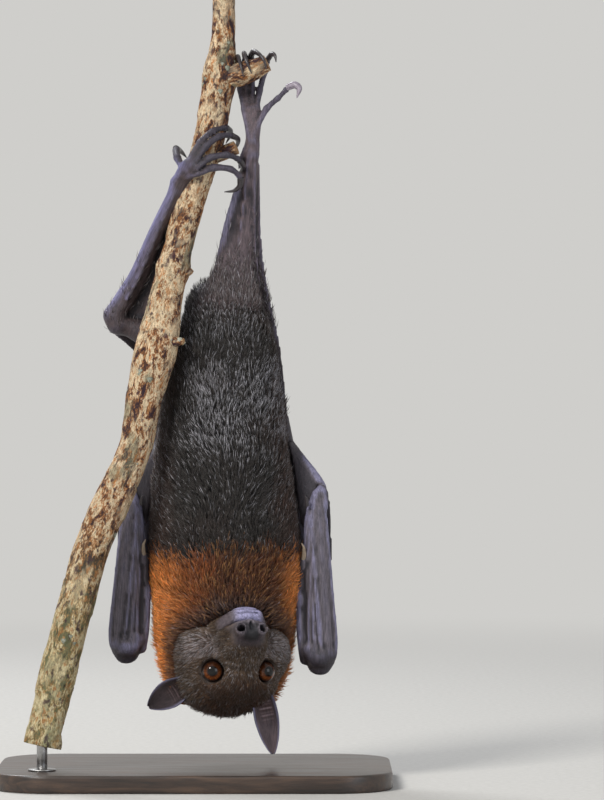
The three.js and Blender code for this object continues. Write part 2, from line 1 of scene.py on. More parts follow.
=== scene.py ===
"""A life-size fruit bat, a dark flying fox with a russet collar, hanging head down from a branch.

The CAD model is the frame. One skin is grown from rounded shapes inside it, in millimetres of the bat's own
frame, and a coat of small solid tufts is laid over the skin. The bat's own left is at low x.
"""
import logging
import math
from collections.abc import Iterator, Sequence
from dataclasses import dataclass, field
from enum import Enum

import bpy
import mathutils.kdtree
import numpy as np
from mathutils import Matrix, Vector


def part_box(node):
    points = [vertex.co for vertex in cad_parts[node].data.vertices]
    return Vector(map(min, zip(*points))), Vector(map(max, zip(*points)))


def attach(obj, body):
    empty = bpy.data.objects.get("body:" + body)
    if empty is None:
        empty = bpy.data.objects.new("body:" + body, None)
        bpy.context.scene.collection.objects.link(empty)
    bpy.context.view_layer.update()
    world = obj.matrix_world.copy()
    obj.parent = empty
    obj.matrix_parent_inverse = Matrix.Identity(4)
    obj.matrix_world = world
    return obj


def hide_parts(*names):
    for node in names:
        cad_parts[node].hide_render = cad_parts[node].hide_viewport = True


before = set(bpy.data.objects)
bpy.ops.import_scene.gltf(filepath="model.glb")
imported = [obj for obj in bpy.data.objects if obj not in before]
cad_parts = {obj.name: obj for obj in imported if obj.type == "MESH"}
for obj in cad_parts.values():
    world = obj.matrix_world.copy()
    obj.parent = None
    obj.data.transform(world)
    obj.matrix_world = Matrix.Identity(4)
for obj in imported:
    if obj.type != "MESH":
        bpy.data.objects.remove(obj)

LOG = logging.getLogger("fruit_bat")
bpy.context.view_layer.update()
TRUNK_X = 17.0  # the trunk's middle plane in the part's frame, in millimetres
MILLIMETRE = 0.001
FAR = 40.0  # a distance that counts as outside everything

Rows = Sequence[Sequence[float]]
Rings = Sequence[tuple[float, float]]


# ---- small sums ---------------------------------------------------------------------------------


def unit(vectors: np.ndarray) -> np.ndarray:
    """The same directions, one long."""
    return vectors / np.maximum(np.linalg.norm(vectors, axis=-1, keepdims=True), 1e-9)


def ease(values: np.ndarray, start: float, end: float) -> np.ndarray:
    """Zero before start, one after end, and a smooth rise between them."""
    share = np.clip((values - start) / (end - start), 0, 1)
    return share * share * (3 - 2 * share)


def blend(first: np.ndarray, second: np.ndarray, share: np.ndarray) -> np.ndarray:
    """Rows of first turned into rows of second by a share for each row."""
    share = np.asarray(share)[..., None]
    return first * (1 - share) + second * share


def station_rows(stations: Rows) -> np.ndarray:
    """Stations as an array, where a row without a half depth takes its half width for it."""
    return np.array([[*row, row[3]] if len(row) == 4 else list(row) for row in stations], float)


def thread(stations: Rows, fine: int) -> np.ndarray:
    """Draws a smooth curve through stations.

    Args:
        stations: rows of any width, the place first and sizes after it.
        fine: steps from one station to the next.

    Returns:
        The rows of the finer curve.
    """
    rows = np.asarray(stations, float)
    ends = np.vstack([2 * rows[0] - rows[1], rows, 2 * rows[-1] - rows[-2]])
    steps = np.arange(fine) / fine
    found = []
    for i in range(1, len(ends) - 2):
        before, here, there, after = ends[i - 1:i + 3]
        for t in steps:
            found.append(0.5 * (2 * here + (there - before) * t
                                + (2 * before - 5 * here + 4 * there - after) * t * t
                                + (3 * here - before - 3 * there + after) * t ** 3))
    found.append(rows[-1])
    return np.array(found)


def linear(red: float, green: float, blue: float) -> np.ndarray:
    """A colour written as on a paint card, 0 to 255, as light amounts."""
    share = np.array([red, green, blue]) / 255
    return np.where(share <= 0.04045, share / 12.92, ((share + 0.055) / 1.055) ** 2.4)


def paint(red: float, green: float, blue: float) -> np.ndarray:
    """A dataclass field that holds a colour, written as for linear."""
    return field(default_factory=lambda: linear(red, green, blue))


@dataclass(frozen=True)
class Grain:
    """Soft random values, fixed by a seed, that vary smoothly through space."""

    size: float
    seed: int = 1
    layers: int = 2

    def corner(self, place: np.ndarray, layer: int) -> np.ndarray:
        """A value from 0 to 1 for each whole-numbered place.

        Args:
            place: whole-numbered places.
            layer: which layer of the grain it is for.

        Returns:
            The values.
        """
        cells = place.astype(np.int64)
        mixed = cells[..., 0] * 73856093 ^ cells[..., 1] * 19349663 ^ cells[..., 2] * 83492791
        mixed = (mixed ^ (self.seed * 2654435761 + layer * 40503)) & 0xFFFFFFFF
        mixed = ((mixed ^ (mixed >> 15)) * 2246822519) & 0xFFFFFFFF
        mixed = ((mixed ^ (mixed >> 13)) * 3266489917) & 0xFFFFFFFF
        return (mixed ^ (mixed >> 16)) / 0xFFFFFFFF

    def at(self, points: np.ndarray) -> np.ndarray:
        """Reads the grain.

        Args:
            points: places in millimetres.

        Returns:
            Values from -1 to 1.
        """
        total = np.zeros(points.shape[:-1])
        weight = 0.0
        for layer in range(self.layers):
            scaled = points / (self.size / 2 ** layer) + 31.7 * layer
            cell = np.floor(scaled)
            part = scaled - cell
            part = part * part * (3 - 2 * part)
            value = np.zeros_like(total)
            for i in (0, 1):
                for j in (0, 1):
                    for k in (0, 1):
                        share = (np.where(i, part[..., 0], 1 - part[..., 0])
                                 * np.where(j, part[..., 1], 1 - part[..., 1])
                                 * np.where(k, part[..., 2], 1 - part[..., 2]))
                        value += share * self.corner(cell + (i, j, k), layer)
            total += value * 0.5 ** layer
            weight += 0.5 ** layer
        return total / weight * 2 - 1


# ---- rounded shapes and the field they are grown in ----------------------------------------------


def egg_distance(local: np.ndarray, radii: np.ndarray) -> np.ndarray:
    """How far places are outside an egg, measured from its middle along its own axes.

    Args:
        local: the places.
        radii: the egg's radii, for all places or for each.

    Returns:
        The distances, below zero inside.
    """
    near = np.linalg.norm(local / radii, axis=-1)
    steep = np.linalg.norm(local / (radii * radii), axis=-1)
    return near * (near - 1) / np.maximum(steep, 1e-6)


@dataclass(frozen=True)
class Egg:
    """An egg: its middle, three radii, and its axes as rows."""

    centre: Sequence[float]
    radii: Sequence[float]
    axes: np.ndarray = field(default_factory=lambda: np.eye(3))

    def parts(self) -> Iterator["Egg"]:
        """The shape itself."""
        yield self

    def box(self) -> tuple[np.ndarray, np.ndarray]:
        """Its lowest and highest corners."""
        reach = max(self.radii)
        return np.array(self.centre) - reach, np.array(self.centre) + reach

    def distance(self, points: np.ndarray) -> np.ndarray:
        """How far points are outside it."""
        return egg_distance((points - np.array(self.centre)) @ self.axes.T, np.array(self.radii))


@dataclass(frozen=True)
class Span:
    """A straight length of a limb between two oval sections."""

    first: np.ndarray
    last: np.ndarray
    across: np.ndarray

    def box(self) -> tuple[np.ndarray, np.ndarray]:
        """Its lowest and highest corners.

        Returns:
            The two corners.
        """
        reach = max(self.first[3:].max(), self.last[3:].max())
        ends = np.array([self.first[:3], self.last[:3]])
        return ends.min(0) - reach, ends.max(0) + reach

    def distance(self, points: np.ndarray) -> np.ndarray:
        """How far points are outside it.

        Args:
            points: the places.

        Returns:
            The distances, below zero inside.
        """
        run = self.last[:3] - self.first[:3]
        length = max(float(np.linalg.norm(run)), 1e-6)
        along = run / length
        wide_way = unit(self.across - along * (self.across @ along))
        deep_way = np.cross(along, wide_way)
        from_first = points - self.first[:3]
        reach = from_first @ along
        share = np.clip(reach / length, 0, 1)
        wide = self.first[3] + (self.last[3] - self.first[3]) * share
        deep = self.first[4] + (self.last[4] - self.first[4]) * share
        local = np.stack([from_first @ wide_way, from_first @ deep_way, reach - share * length], -1)
        return egg_distance(local, np.stack([wide, deep, np.minimum(wide, deep)], -1))


@dataclass(frozen=True)
class Limb:
    """A smooth oval tube through stations [x, y, z, half width, half depth], with rounded ends."""

    stations: Rows
    across: Sequence[float] = (1, 0, 0)
    fine: int = 3
    inset: float = 0.0

    def parts(self) -> Iterator[Span]:
        """Cuts it into straight lengths.

        Returns:
            The lengths, one after another.
        """
        rows = thread(station_rows(self.stations), self.fine)
        rows[:, 3:] = np.maximum(rows[:, 3:] - self.inset, 0.3)
        for first, last in zip(rows, rows[1:]):
            yield Span(first, last, np.array(self.across, float))

    def box(self) -> tuple[np.ndarray, np.ndarray]:
        """Its lowest and highest corners."""
        corners = [part.box() for part in self.parts()]
        return np.min([low for low, _ in corners], 0), np.max([high for _, high in corners], 0)

    def distance(self, points: np.ndarray) -> np.ndarray:
        """How far points are outside it."""
        return np.min([part.distance(points) for part in self.parts()], 0)


@dataclass(frozen=True)
class Membrane:
    """Thin skin stretched between two edges, made of threads that run along it, some of them thicker."""

    inner: Rows
    outer: Rows
    thick: float = 1.95
    spacing: float = 0.7
    fold: float = 0.12
    folds: float = 5.0

    def parts(self) -> Iterator[Span]:
        """Cuts its threads into straight lengths.

        Returns:
            The lengths, one after another.
        """
        inner, outer = thread(self.inner, 6), thread(self.outer, 6)
        samples = 60
        along = np.linspace(0, 1, samples)
        edges = [np.stack([np.interp(along, np.linspace(0, 1, len(rows)), rows[:, i]) for i in range(3)], -1)
                 for rows in (inner, outer)]
        width = np.linalg.norm(edges[0] - edges[1], axis=1).max()
        count = max(3, int(width / self.spacing) + 1)
        for share in np.linspace(0, 1, count):
            half = self.thick / 2 + self.fold * math.sin(share * math.pi * self.folds) ** 2
            line = edges[0] * (1 - share) + edges[1] * share
            rows = np.hstack([line, np.full((samples, 2), half)])
            for first, last in zip(rows, rows[1:]):
                yield Span(first, last, np.array([1.0, 0.3, 0.2]))

    def box(self) -> tuple[np.ndarray, np.ndarray]:
        """Its lowest and highest corners."""
        rows = np.vstack([thread(self.inner, 6), thread(self.outer, 6)])
        return rows.min(0) - self.thick, rows.max(0) + self.thick


@dataclass
class Field:
    """Distances to a growing body on a regular grid, in millimetres. Below zero is inside."""

    low: Sequence[float]
    high: Sequence[float]
    step: float
    values: np.ndarray = field(init=False)

    def __post_init__(self) -> None:
        """Starts empty."""
        self.low = np.array(self.low, float)
        count = np.ceil((np.array(self.high) - self.low) / self.step).astype(int) + 1
        self.values = np.full(count, FAR, np.float32)

    def window(self, box: tuple[np.ndarray, np.ndarray], pad: float) -> tuple[slice, ...]:
        """Finds the part of the grid that a box reaches.

        Args:
            box: its lowest and highest corners.
            pad: how much room is left round it.

        Returns:
            A slice for each axis.
        """
        first = np.floor((box[0] - pad - self.low) / self.step).astype(int)
        last = np.ceil((box[1] + pad - self.low) / self.step).astype(int) + 1
        shape = np.array(self.values.shape)
        return tuple(slice(a, b) for a, b in zip(np.clip(first, 0, shape), np.clip(last, 0, shape)))

    def places(self, window: tuple[slice, ...]) -> np.ndarray:
        """The places of a window's grid points."""
        axes = [self.low[i] + self.step * np.arange(w.start, w.stop) for i, w in enumerate(window)]
        return np.stack(np.meshgrid(*axes, indexing="ij"), -1)

    def read(self, shape: Egg | Limb | Membrane, pad: float) -> tuple[tuple[slice, ...], np.ndarray]:
        """Measures a shape.

        Args:
            shape: what is measured.
            pad: how far round the shape its distance is wanted.

        Returns:
            The window of the grid that it reaches, and its distances there.
        """
        window = self.window(shape.box(), pad)
        found = np.full([w.stop - w.start for w in window], FAR, np.float32)
        for part in shape.parts():
            inner = self.window(part.box(), pad)
            if any(w.stop <= w.start for w in inner):
                continue
            local = tuple(slice(w.start - o.start, w.stop - o.start) for w, o in zip(inner, window))
            found[local] = np.minimum(found[local], part.distance(self.places(inner)))
        return window, found

    def join(self, shape: Egg | Limb | Membrane, soft: float = 0.0, sign: int = 1) -> None:
        """Adds a shape to the body, or to the room round the body.

        Args:
            shape: what is added.
            soft: how wide the fillet is where it meets the body.
            sign: one for the body, or minus one for the room round it.
        """
        window, found = self.read(shape, 2 * self.step + soft)
        here = sign * self.values[window]
        overlap = np.maximum(soft - np.abs(here - found), 0)
        dip = overlap * overlap / (4 * soft) if soft else 0
        self.values[window] = sign * (np.minimum(here, found) - dip)

    def cut(self, shape: Egg | Limb | Membrane, soft: float = 0.0) -> None:
        """Carves a shape out, with an edge rounded by soft."""
        self.join(shape, soft, -1)

    def sample(self, points: np.ndarray) -> np.ndarray:
        """Reads the distance between grid points.

        Args:
            points: the places.

        Returns:
            The distances, which count as far outside the grid.
        """
        scaled = (points - self.low) / self.step
        limit = np.array(self.values.shape) - 2
        cell = np.floor(scaled).astype(int)
        outside = ((cell < 0) | (cell > limit)).any(-1)
        cell = np.clip(cell, 0, limit)
        part = np.clip(scaled - cell, 0, 1)
        total = np.zeros(len(points))
        for corner in np.ndindex(2, 2, 2):
            share = np.prod(np.where(corner, part, 1 - part), -1)
            total += share * self.values[tuple((cell + corner).T)]
        return np.where(outside, FAR, total)

    def surface(self) -> tuple[np.ndarray, np.ndarray]:
        """Draws the body's surface.

        Returns:
            Its points, and its four-sided faces, which look outwards.
        """
        values = self.values
        inside = values < 0
        shape = np.array(values.shape)
        corners = np.array(list(np.ndindex(2, 2, 2)))
        count = sum(inside[tuple(slice(c, n - 1 + c) for c, n in zip(corner, shape))].astype(np.int8)
                    for corner in corners)
        live = (count > 0) & (count < 8)
        cells = np.argwhere(live)
        number = np.full(live.shape, -1, np.int64)
        number[live] = np.arange(len(cells))
        total = np.zeros((len(cells), 3))
        hits = np.zeros(len(cells))
        for corner in corners:
            for axis in np.flatnonzero(corner == 0):
                other = corner + np.eye(3, dtype=int)[axis]
                here = values[tuple((cells + corner).T)].astype(float)
                there = values[tuple((cells + other).T)].astype(float)
                crossing = (here < 0) != (there < 0)
                share = np.where(crossing, here / np.where(crossing, here - there, 1), 0)
                total += crossing[:, None] * (corner + share[:, None] * (other - corner))
                hits += crossing
        points = self.low + self.step * (cells + total / hits[:, None])
        faces = []
        for axis in range(3):
            u, w = (axis + 1) % 3, (axis + 2) % 3
            here = np.take(inside, range(shape[axis] - 1), axis)
            there = np.take(inside, range(1, shape[axis]), axis)
            edges = np.argwhere(here != there)
            room = ((edges[:, [u, w]] >= 1) & (edges[:, [u, w]] <= shape[[u, w]] - 2)).all(1)
            edges = edges[room]
            back_u, back_w = np.eye(3, dtype=int)[u], np.eye(3, dtype=int)[w]
            ring = [edges - back_u - back_w, edges - back_w, edges, edges - back_u]
            quads = np.stack([number[tuple(r.T)] for r in ring], -1)
            turned = ~here[tuple(edges.T)]
            quads[turned] = quads[turned][:, ::-1]
            faces.append(quads)
        return without_crumbs(points, np.vstack(faces))


def without_crumbs(points: np.ndarray, faces: np.ndarray) -> tuple[np.ndarray, np.ndarray]:
    """Keeps a surface's largest connected piece, and drops the specks that thin cuts leave beside it.

    Args:
        points: its points.
        faces: its four-sided faces.

    Returns:
        The points and the faces that stay.
    """
    first, second = faces.ravel(), np.roll(faces, -1, 1).ravel()
    label = np.arange(len(points))
    before = None
    while before is None or (label != before).any():
        before = label.copy()
        lower = np.minimum(label[first], label[second])
        np.minimum.at(label, first, lower)
        np.minimum.at(label, second, lower)
        label = label[label]
    keep = label == np.bincount(label[faces[:, 0]]).argmax()
    number = np.cumsum(keep) - 1
    return points[keep], number[faces[keep[faces[:, 0]]]]


def smoothed(points: np.ndarray, faces: np.ndarray, factors: Sequence[float]) -> np.ndarray:
    """Moves the points of a surface towards the middle of their neighbours, or away from it.

    Args:
        points: its points.
        faces: its four-sided faces.
        factors: how much of the way the points go, one value for each round.

    Returns:
        The moved points.
    """
    first, second = faces.ravel(), np.roll(faces, -1, 1).ravel()
    ends, others = np.concatenate([first, second]), np.concatenate([second, first])
    count = np.maximum(np.bincount(ends, minlength=len(points)), 1)
    for factor in factors:
        middle = np.stack([np.bincount(ends, points[others, i], len(points)) for i in range(3)], -1)
        points = points + factor * (middle / count[:, None] - points)
    return points


def relax(points: np.ndarray, faces: np.ndarray, rounds: int) -> np.ndarray:
    """Evens a surface out without shrinking it: each round goes in, and a little further out again."""
    return smoothed(points, faces, (0.5, -0.52) * rounds)


def relief(points: np.ndarray, faces: np.ndarray, normals: np.ndarray) -> np.ndarray:
    """How far each point stands proud of its surroundings, in millimetres: below zero in a crease."""
    return ((points - smoothed(points, faces, (0.5,) * 6)) * normals).sum(1)


def point_normals(points: np.ndarray, faces: np.ndarray) -> np.ndarray:
    """Finds the outward direction at each point of a surface.

    Args:
        points: its points.
        faces: its four-sided faces.

    Returns:
        The directions, one long.
    """
    across = np.cross(points[faces[:, 2]] - points[faces[:, 0]], points[faces[:, 3]] - points[faces[:, 1]])
    total = np.zeros_like(points)
    for i in range(3):
        total[:, i] = np.bincount(faces.ravel(), np.repeat(across[:, i], 4), len(points))
    return unit(total)


@dataclass
class Shell:
    """A surface of four-sided faces, with what each of its points carries."""

    points: np.ndarray
    faces: np.ndarray
    colour: np.ndarray = field(default_factory=lambda: np.zeros((0, 3)))
    bare: np.ndarray = field(default_factory=lambda: np.zeros(0))
    place: np.ndarray = field(default_factory=lambda: np.zeros((0, 3)))
    normals: np.ndarray = field(init=False)

    def __post_init__(self) -> None:
        """Works out which way each point faces."""
        self.normals = point_normals(self.points, self.faces)

    @staticmethod
    def joined(shells: Sequence["Shell"]) -> "Shell":
        """Puts several shells into one.

        Args:
            shells: the shells.

        Returns:
            The one shell.
        """
        starts = np.cumsum([0] + [len(s.points) for s in shells[:-1]])
        faces = np.vstack([s.faces + start for s, start in zip(shells, starts)])
        return Shell(np.vstack([s.points for s in shells]), faces, np.vstack([s.colour for s in shells]),
                     np.concatenate([s.bare for s in shells]), np.vstack([s.place for s in shells]))


def ring_faces(rings: int, sides: int) -> tuple[np.ndarray, np.ndarray]:
    """Joins rings of points into a closed body, each end of which comes together in one point.

    Args:
        rings: how many rings there are. Their points come first, then the two ends' points.
        sides: how many points a ring has.

    Returns:
        The four-sided faces between the rings, and the triangles of the two ends.
    """
    number = np.arange(rings * sides).reshape(rings, sides)
    after = np.roll(number, -1, 1)
    quads = np.stack([number[:-1], after[:-1], after[1:], number[1:]], -1).reshape(-1, 4)
    first, last = np.full(sides, rings * sides), np.full(sides, rings * sides + 1)
    caps = [np.stack([first, after[0], number[0]], -1), np.stack([last, number[-1], after[-1]], -1)]
    return quads, np.vstack(caps)


def place_object(name: str, data: bpy.types.ID) -> bpy.types.Object:
    """Puts a mesh, a lamp or a camera into the scene.

    Args:
        name: its name.
        data: the mesh, lamp or camera.

    Returns:
        The object that shows it.
    """
    item = bpy.data.objects.new(name, data)
    bpy.context.scene.collection.objects.link(item)
    return item


def make_object(name: str, points: np.ndarray, faces: Sequence[np.ndarray], finish: bpy.types.Material,
                layers: dict[str, np.ndarray] | None = None,
                bake_map: np.ndarray | None = None) -> bpy.types.Object:
    """Makes a piece of the bat, its perch or its stand, in place.

    Args:
        name: the piece's name.
        points: its points, in millimetres of the bat's frame.
        faces: arrays of faces, each array with its own number of corners.
        finish: its material.
        layers: values that each point carries: a number, or a colour or vector of three.
        bake_map: a place on the bake map for each point.

    Returns:
        The object, which rides on the root body.
    """
    mesh = bpy.data.meshes.new(name)
    mesh.vertices.add(len(points))
    placed = (points + np.array([TRUNK_X, 0, 0])) * MILLIMETRE
    mesh.vertices.foreach_set("co", placed.astype(np.float32).ravel())
    corners = np.concatenate([f.ravel() for f in faces]).astype(np.int32)
    sizes = np.concatenate([np.full(len(f), f.shape[1]) for f in faces])
    mesh.loops.add(len(corners))
    mesh.loops.foreach_set("vertex_index", corners)
    mesh.polygons.add(len(sizes))
    mesh.polygons.foreach_set("loop_start", (np.cumsum(sizes) - sizes).astype(np.int32))
    mesh.update(calc_edges=True)
    mesh.shade_smooth()
    for label, values in (layers or {}).items():
        if values.ndim == 1:
            mesh.attributes.new(label, "FLOAT", "POINT").data.foreach_set("value", values.astype(np.float32))
        elif label.endswith("place"):
            layer = mesh.attributes.new(label, "FLOAT_VECTOR", "POINT")
            layer.data.foreach_set("vector", values.astype(np.float32).ravel())
        else:
            layer = mesh.attributes.new(label, "FLOAT_COLOR", "POINT")
            full = np.hstack([values, np.ones((len(values), 1))])
            layer.data.foreach_set("color", full.astype(np.float32).ravel())
    if bake_map is not None:
        mesh.uv_layers.new(name="OFBake").data.foreach_set("uv", bake_map[corners].astype(np.float32).ravel())
    mesh.materials.append(finish)
    piece = place_object(name, mesh)
    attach(piece, "root")
    LOG.info("%s: %d faces", name, len(sizes))
    return piece


def node_box(*names: str) -> tuple[np.ndarray, np.ndarray]:
    """Finds the box round some CAD nodes.

    Args:
        names: the nodes.

    Returns:
        Its lowest and highest corners, in millimetres of the bat's own frame.
    """
    corners = np.array([[list(corner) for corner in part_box(name)] for name in names]) / MILLIMETRE
    corners[..., 0] -= TRUNK_X
    return corners[:, 0].min(0), corners[:, 1].max(0)


class BodySide(Enum):
    """The bat's own left and right, as the sign of x."""

    LEFT = -1
    RIGHT = 1

    @property
    def label(self) -> str:
        """The word that node names end with."""
        return self.name.lower()


# ---- markings -------------------------------------------------------------------------------------


@dataclass(frozen=True)
class Markings:
    """The colours of the bat, which its skin and its coat share."""

    collar_top: float = 128.0
    soot: np.ndarray = paint(45, 40, 37)
    umber: np.ndarray = paint(76, 55, 47)
    silver: np.ndarray = paint(240, 238, 246)
    russet: np.ndarray = paint(208, 130, 64)
    rust: np.ndarray = paint(128, 68, 28)
    mahogany: np.ndarray = paint(76, 42, 20)
    face: np.ndarray = paint(88, 70, 54)
    cheek: np.ndarray = paint(102, 87, 82)
    slate: np.ndarray = paint(94, 87, 93)
    dusk: np.ndarray = paint(62, 53, 55)
    hide: np.ndarray = paint(90, 76, 78)
    # a blue-lilac for the paler ear rims, and for painted sheen and highlights on bare skin
    lilac: np.ndarray = paint(122, 119, 146)

    def collar(self, points: np.ndarray) -> np.ndarray:
        """How much of the russet collar there is at each place."""
        sway = Grain(14, 3).at(points) * 6 - 0.0022 * (points[:, 0] - 4) ** 2
        return 1 - ease(points[:, 2], self.collar_top - 8 + sway, self.collar_top + 8 + sway)

    def trunk(self, points: np.ndarray, collar: np.ndarray | None = None) -> np.ndarray:
        """The coat's colour on the trunk, neck and thighs.

        Args:
            points: the places.
            collar: how much of the collar's colour to use, if it isn't to be worked out.

        Returns:
            The colours.
        """
        collar = self.collar(points) if collar is None else collar
        flank = np.clip(ease(np.abs(points[:, 0]), 18, 38) * 0.8 + 0.3 * Grain(20, 8).at(points), 0, 1)
        dark = blend(self.soot, self.umber, flank)
        sides = ease(np.abs(points[:, 0] - 3), 13, 37)
        low = 1 - ease(points[:, 2], 96, 134)
        bright = np.clip(sides * (0.35 + 0.65 * low) + 0.18 * Grain(9, 5).at(points), 0, 1)
        front = ease(-points[:, 1], -14, 10)
        middle = front * (1 - ease(np.abs(points[:, 0] - 12), 10, 24))
        warm = blend(self.rust, self.russet, bright)
        warm = blend(warm, self.mahogany, np.clip(middle * 0.85 + 0.25 * (1 - bright), 0, 1))
        back = ease(points[:, 1], 4, 20)
        warm = blend(warm, self.rust * 0.8, 0.6 * back)
        return blend(dark, warm, collar)

    def thin_haired(self, points: np.ndarray) -> np.ndarray:
        """Colours the brown, mottled skin where the hips' coat gives way to the web.

        Args:
            points: the places.

        Returns:
            The colours.
        """
        mottle = np.clip(0.85 + 0.5 * Grain(3.5, 27, 3).at(points), 0.4, 1.3)
        return blend(self.hide * mottle[:, None], self.umber * 0.8,
                     0.7 * (1 - ease(points[:, 2], 262, 296)))

    def silvering(self, points: np.ndarray) -> np.ndarray:
        """Finds the share of silver-tipped tufts, partly grizzled hair and partly painted glints.

        Args:
            points: the places.

        Returns:
            The share at each place.
        """
        x, y, z = points.T
        low = ease(z, 176, 190) * (1 - ease(z, 226, 241)) * (1 - ease(np.abs(x - 8), 14, 35))
        high = 0.6 * ease(z, 243, 254) * (1 - ease(z, 276, 290)) * (1 - ease(np.abs(x + 2), 12, 28))
        belly = low + high
        patches = 0.75 + 1.1 * Grain(15, 11, 3).at(points)
        fringe = 0.05 + 0.05 * ease(z, 140, 160)
        behind = 1 - 0.65 * ease(y, -2, 14)
        return np.clip((0.5 * belly * patches + fringe) * behind, 0, 0.6) * (1 - 0.9 * self.collar(points))

    def head(self, local: np.ndarray) -> np.ndarray:
        """Colours the coat on the head.

        Args:
            local: the places, in the head's own frame.

        Returns:
            The colours.
        """
        y, z = local.T[1:]
        crown = ease(-y, 14, 34)
        tone = blend(self.face, self.mahogany * 0.8, 0.6 * ease(z, 0, 11))
        tone = blend(tone, self.mahogany * 0.75, 0.75 * crown)
        tone = blend(tone, self.cheek * 1.1, 0.9 * self.cheek_patch(local))
        tone = blend(tone, self.umber * 0.75, 0.7 * ease(-z, 8, 18) * ease(-y, -5, 6))
        return blend(tone, self.face * 0.8, 0.5 * ease(y, 8, 22))

    def cheek_patch(self, local: np.ndarray) -> np.ndarray:
        """The silvery patch on each cheek, between the eye and the corner of the mouth."""
        x, y, z = local.T
        return np.exp(-((y - 6) / 8) ** 2 - ((z + 13) / 6) ** 2) * ease(np.abs(x), 6, 13)

    def grizzle(self, local: np.ndarray) -> np.ndarray:
        """Finds the share of silver tufts on the head: along each jaw, and a few on the brow.

        Args:
            local: the places, in the head's own frame.

        Returns:
            The share at each place.
        """
        y, z = local.T[1:]
        brow = 0.1 * (1 - ease(np.abs(z), 4, 12)) + 0.04
        return np.clip(0.5 * self.cheek_patch(local) * (1 - ease(y, 14, 24)) + brow, 0, 0.7)


# ---- head and ears ---------------------------------------------------------------------------------


@dataclass(frozen=True)
class HeadPlace:
    """Where the head is: its x to the bat's right, y to the nose, z to the crown, zero between the eyes."""

    at: Sequence[float] = (8.6, -27.0, 64.7)
    yaw: float = 17.0
    pitch: float = 28.0
    roll: float = -1.5

    @property
    def axes(self) -> np.ndarray:
        """Turns the head's axes by its three angles.

        Returns:
            The axes as rows.
        """
        yaw, pitch, roll = (math.radians(angle) for angle in (self.yaw, self.pitch, self.roll))
        nose = np.array([math.sin(yaw) * math.cos(pitch), -math.cos(yaw) * math.cos(pitch), math.sin(pitch)])
        side = np.array([math.cos(yaw), math.sin(yaw), 0])
        side = side * math.cos(roll) + np.cross(nose, side) * math.sin(roll)
        return np.array([side, nose, np.cross(side, nose)])

    def outward(self, local: Sequence[float] | np.ndarray) -> np.ndarray:
        """Places in the head's frame, as places in the bat's."""
        return np.array(self.at) + np.array(local, float) @ self.axes

    def inward(self, points: np.ndarray) -> np.ndarray:
        """Places in the bat's frame, as places in the head's."""
        return (points - np.array(self.at)) @ self.axes.T


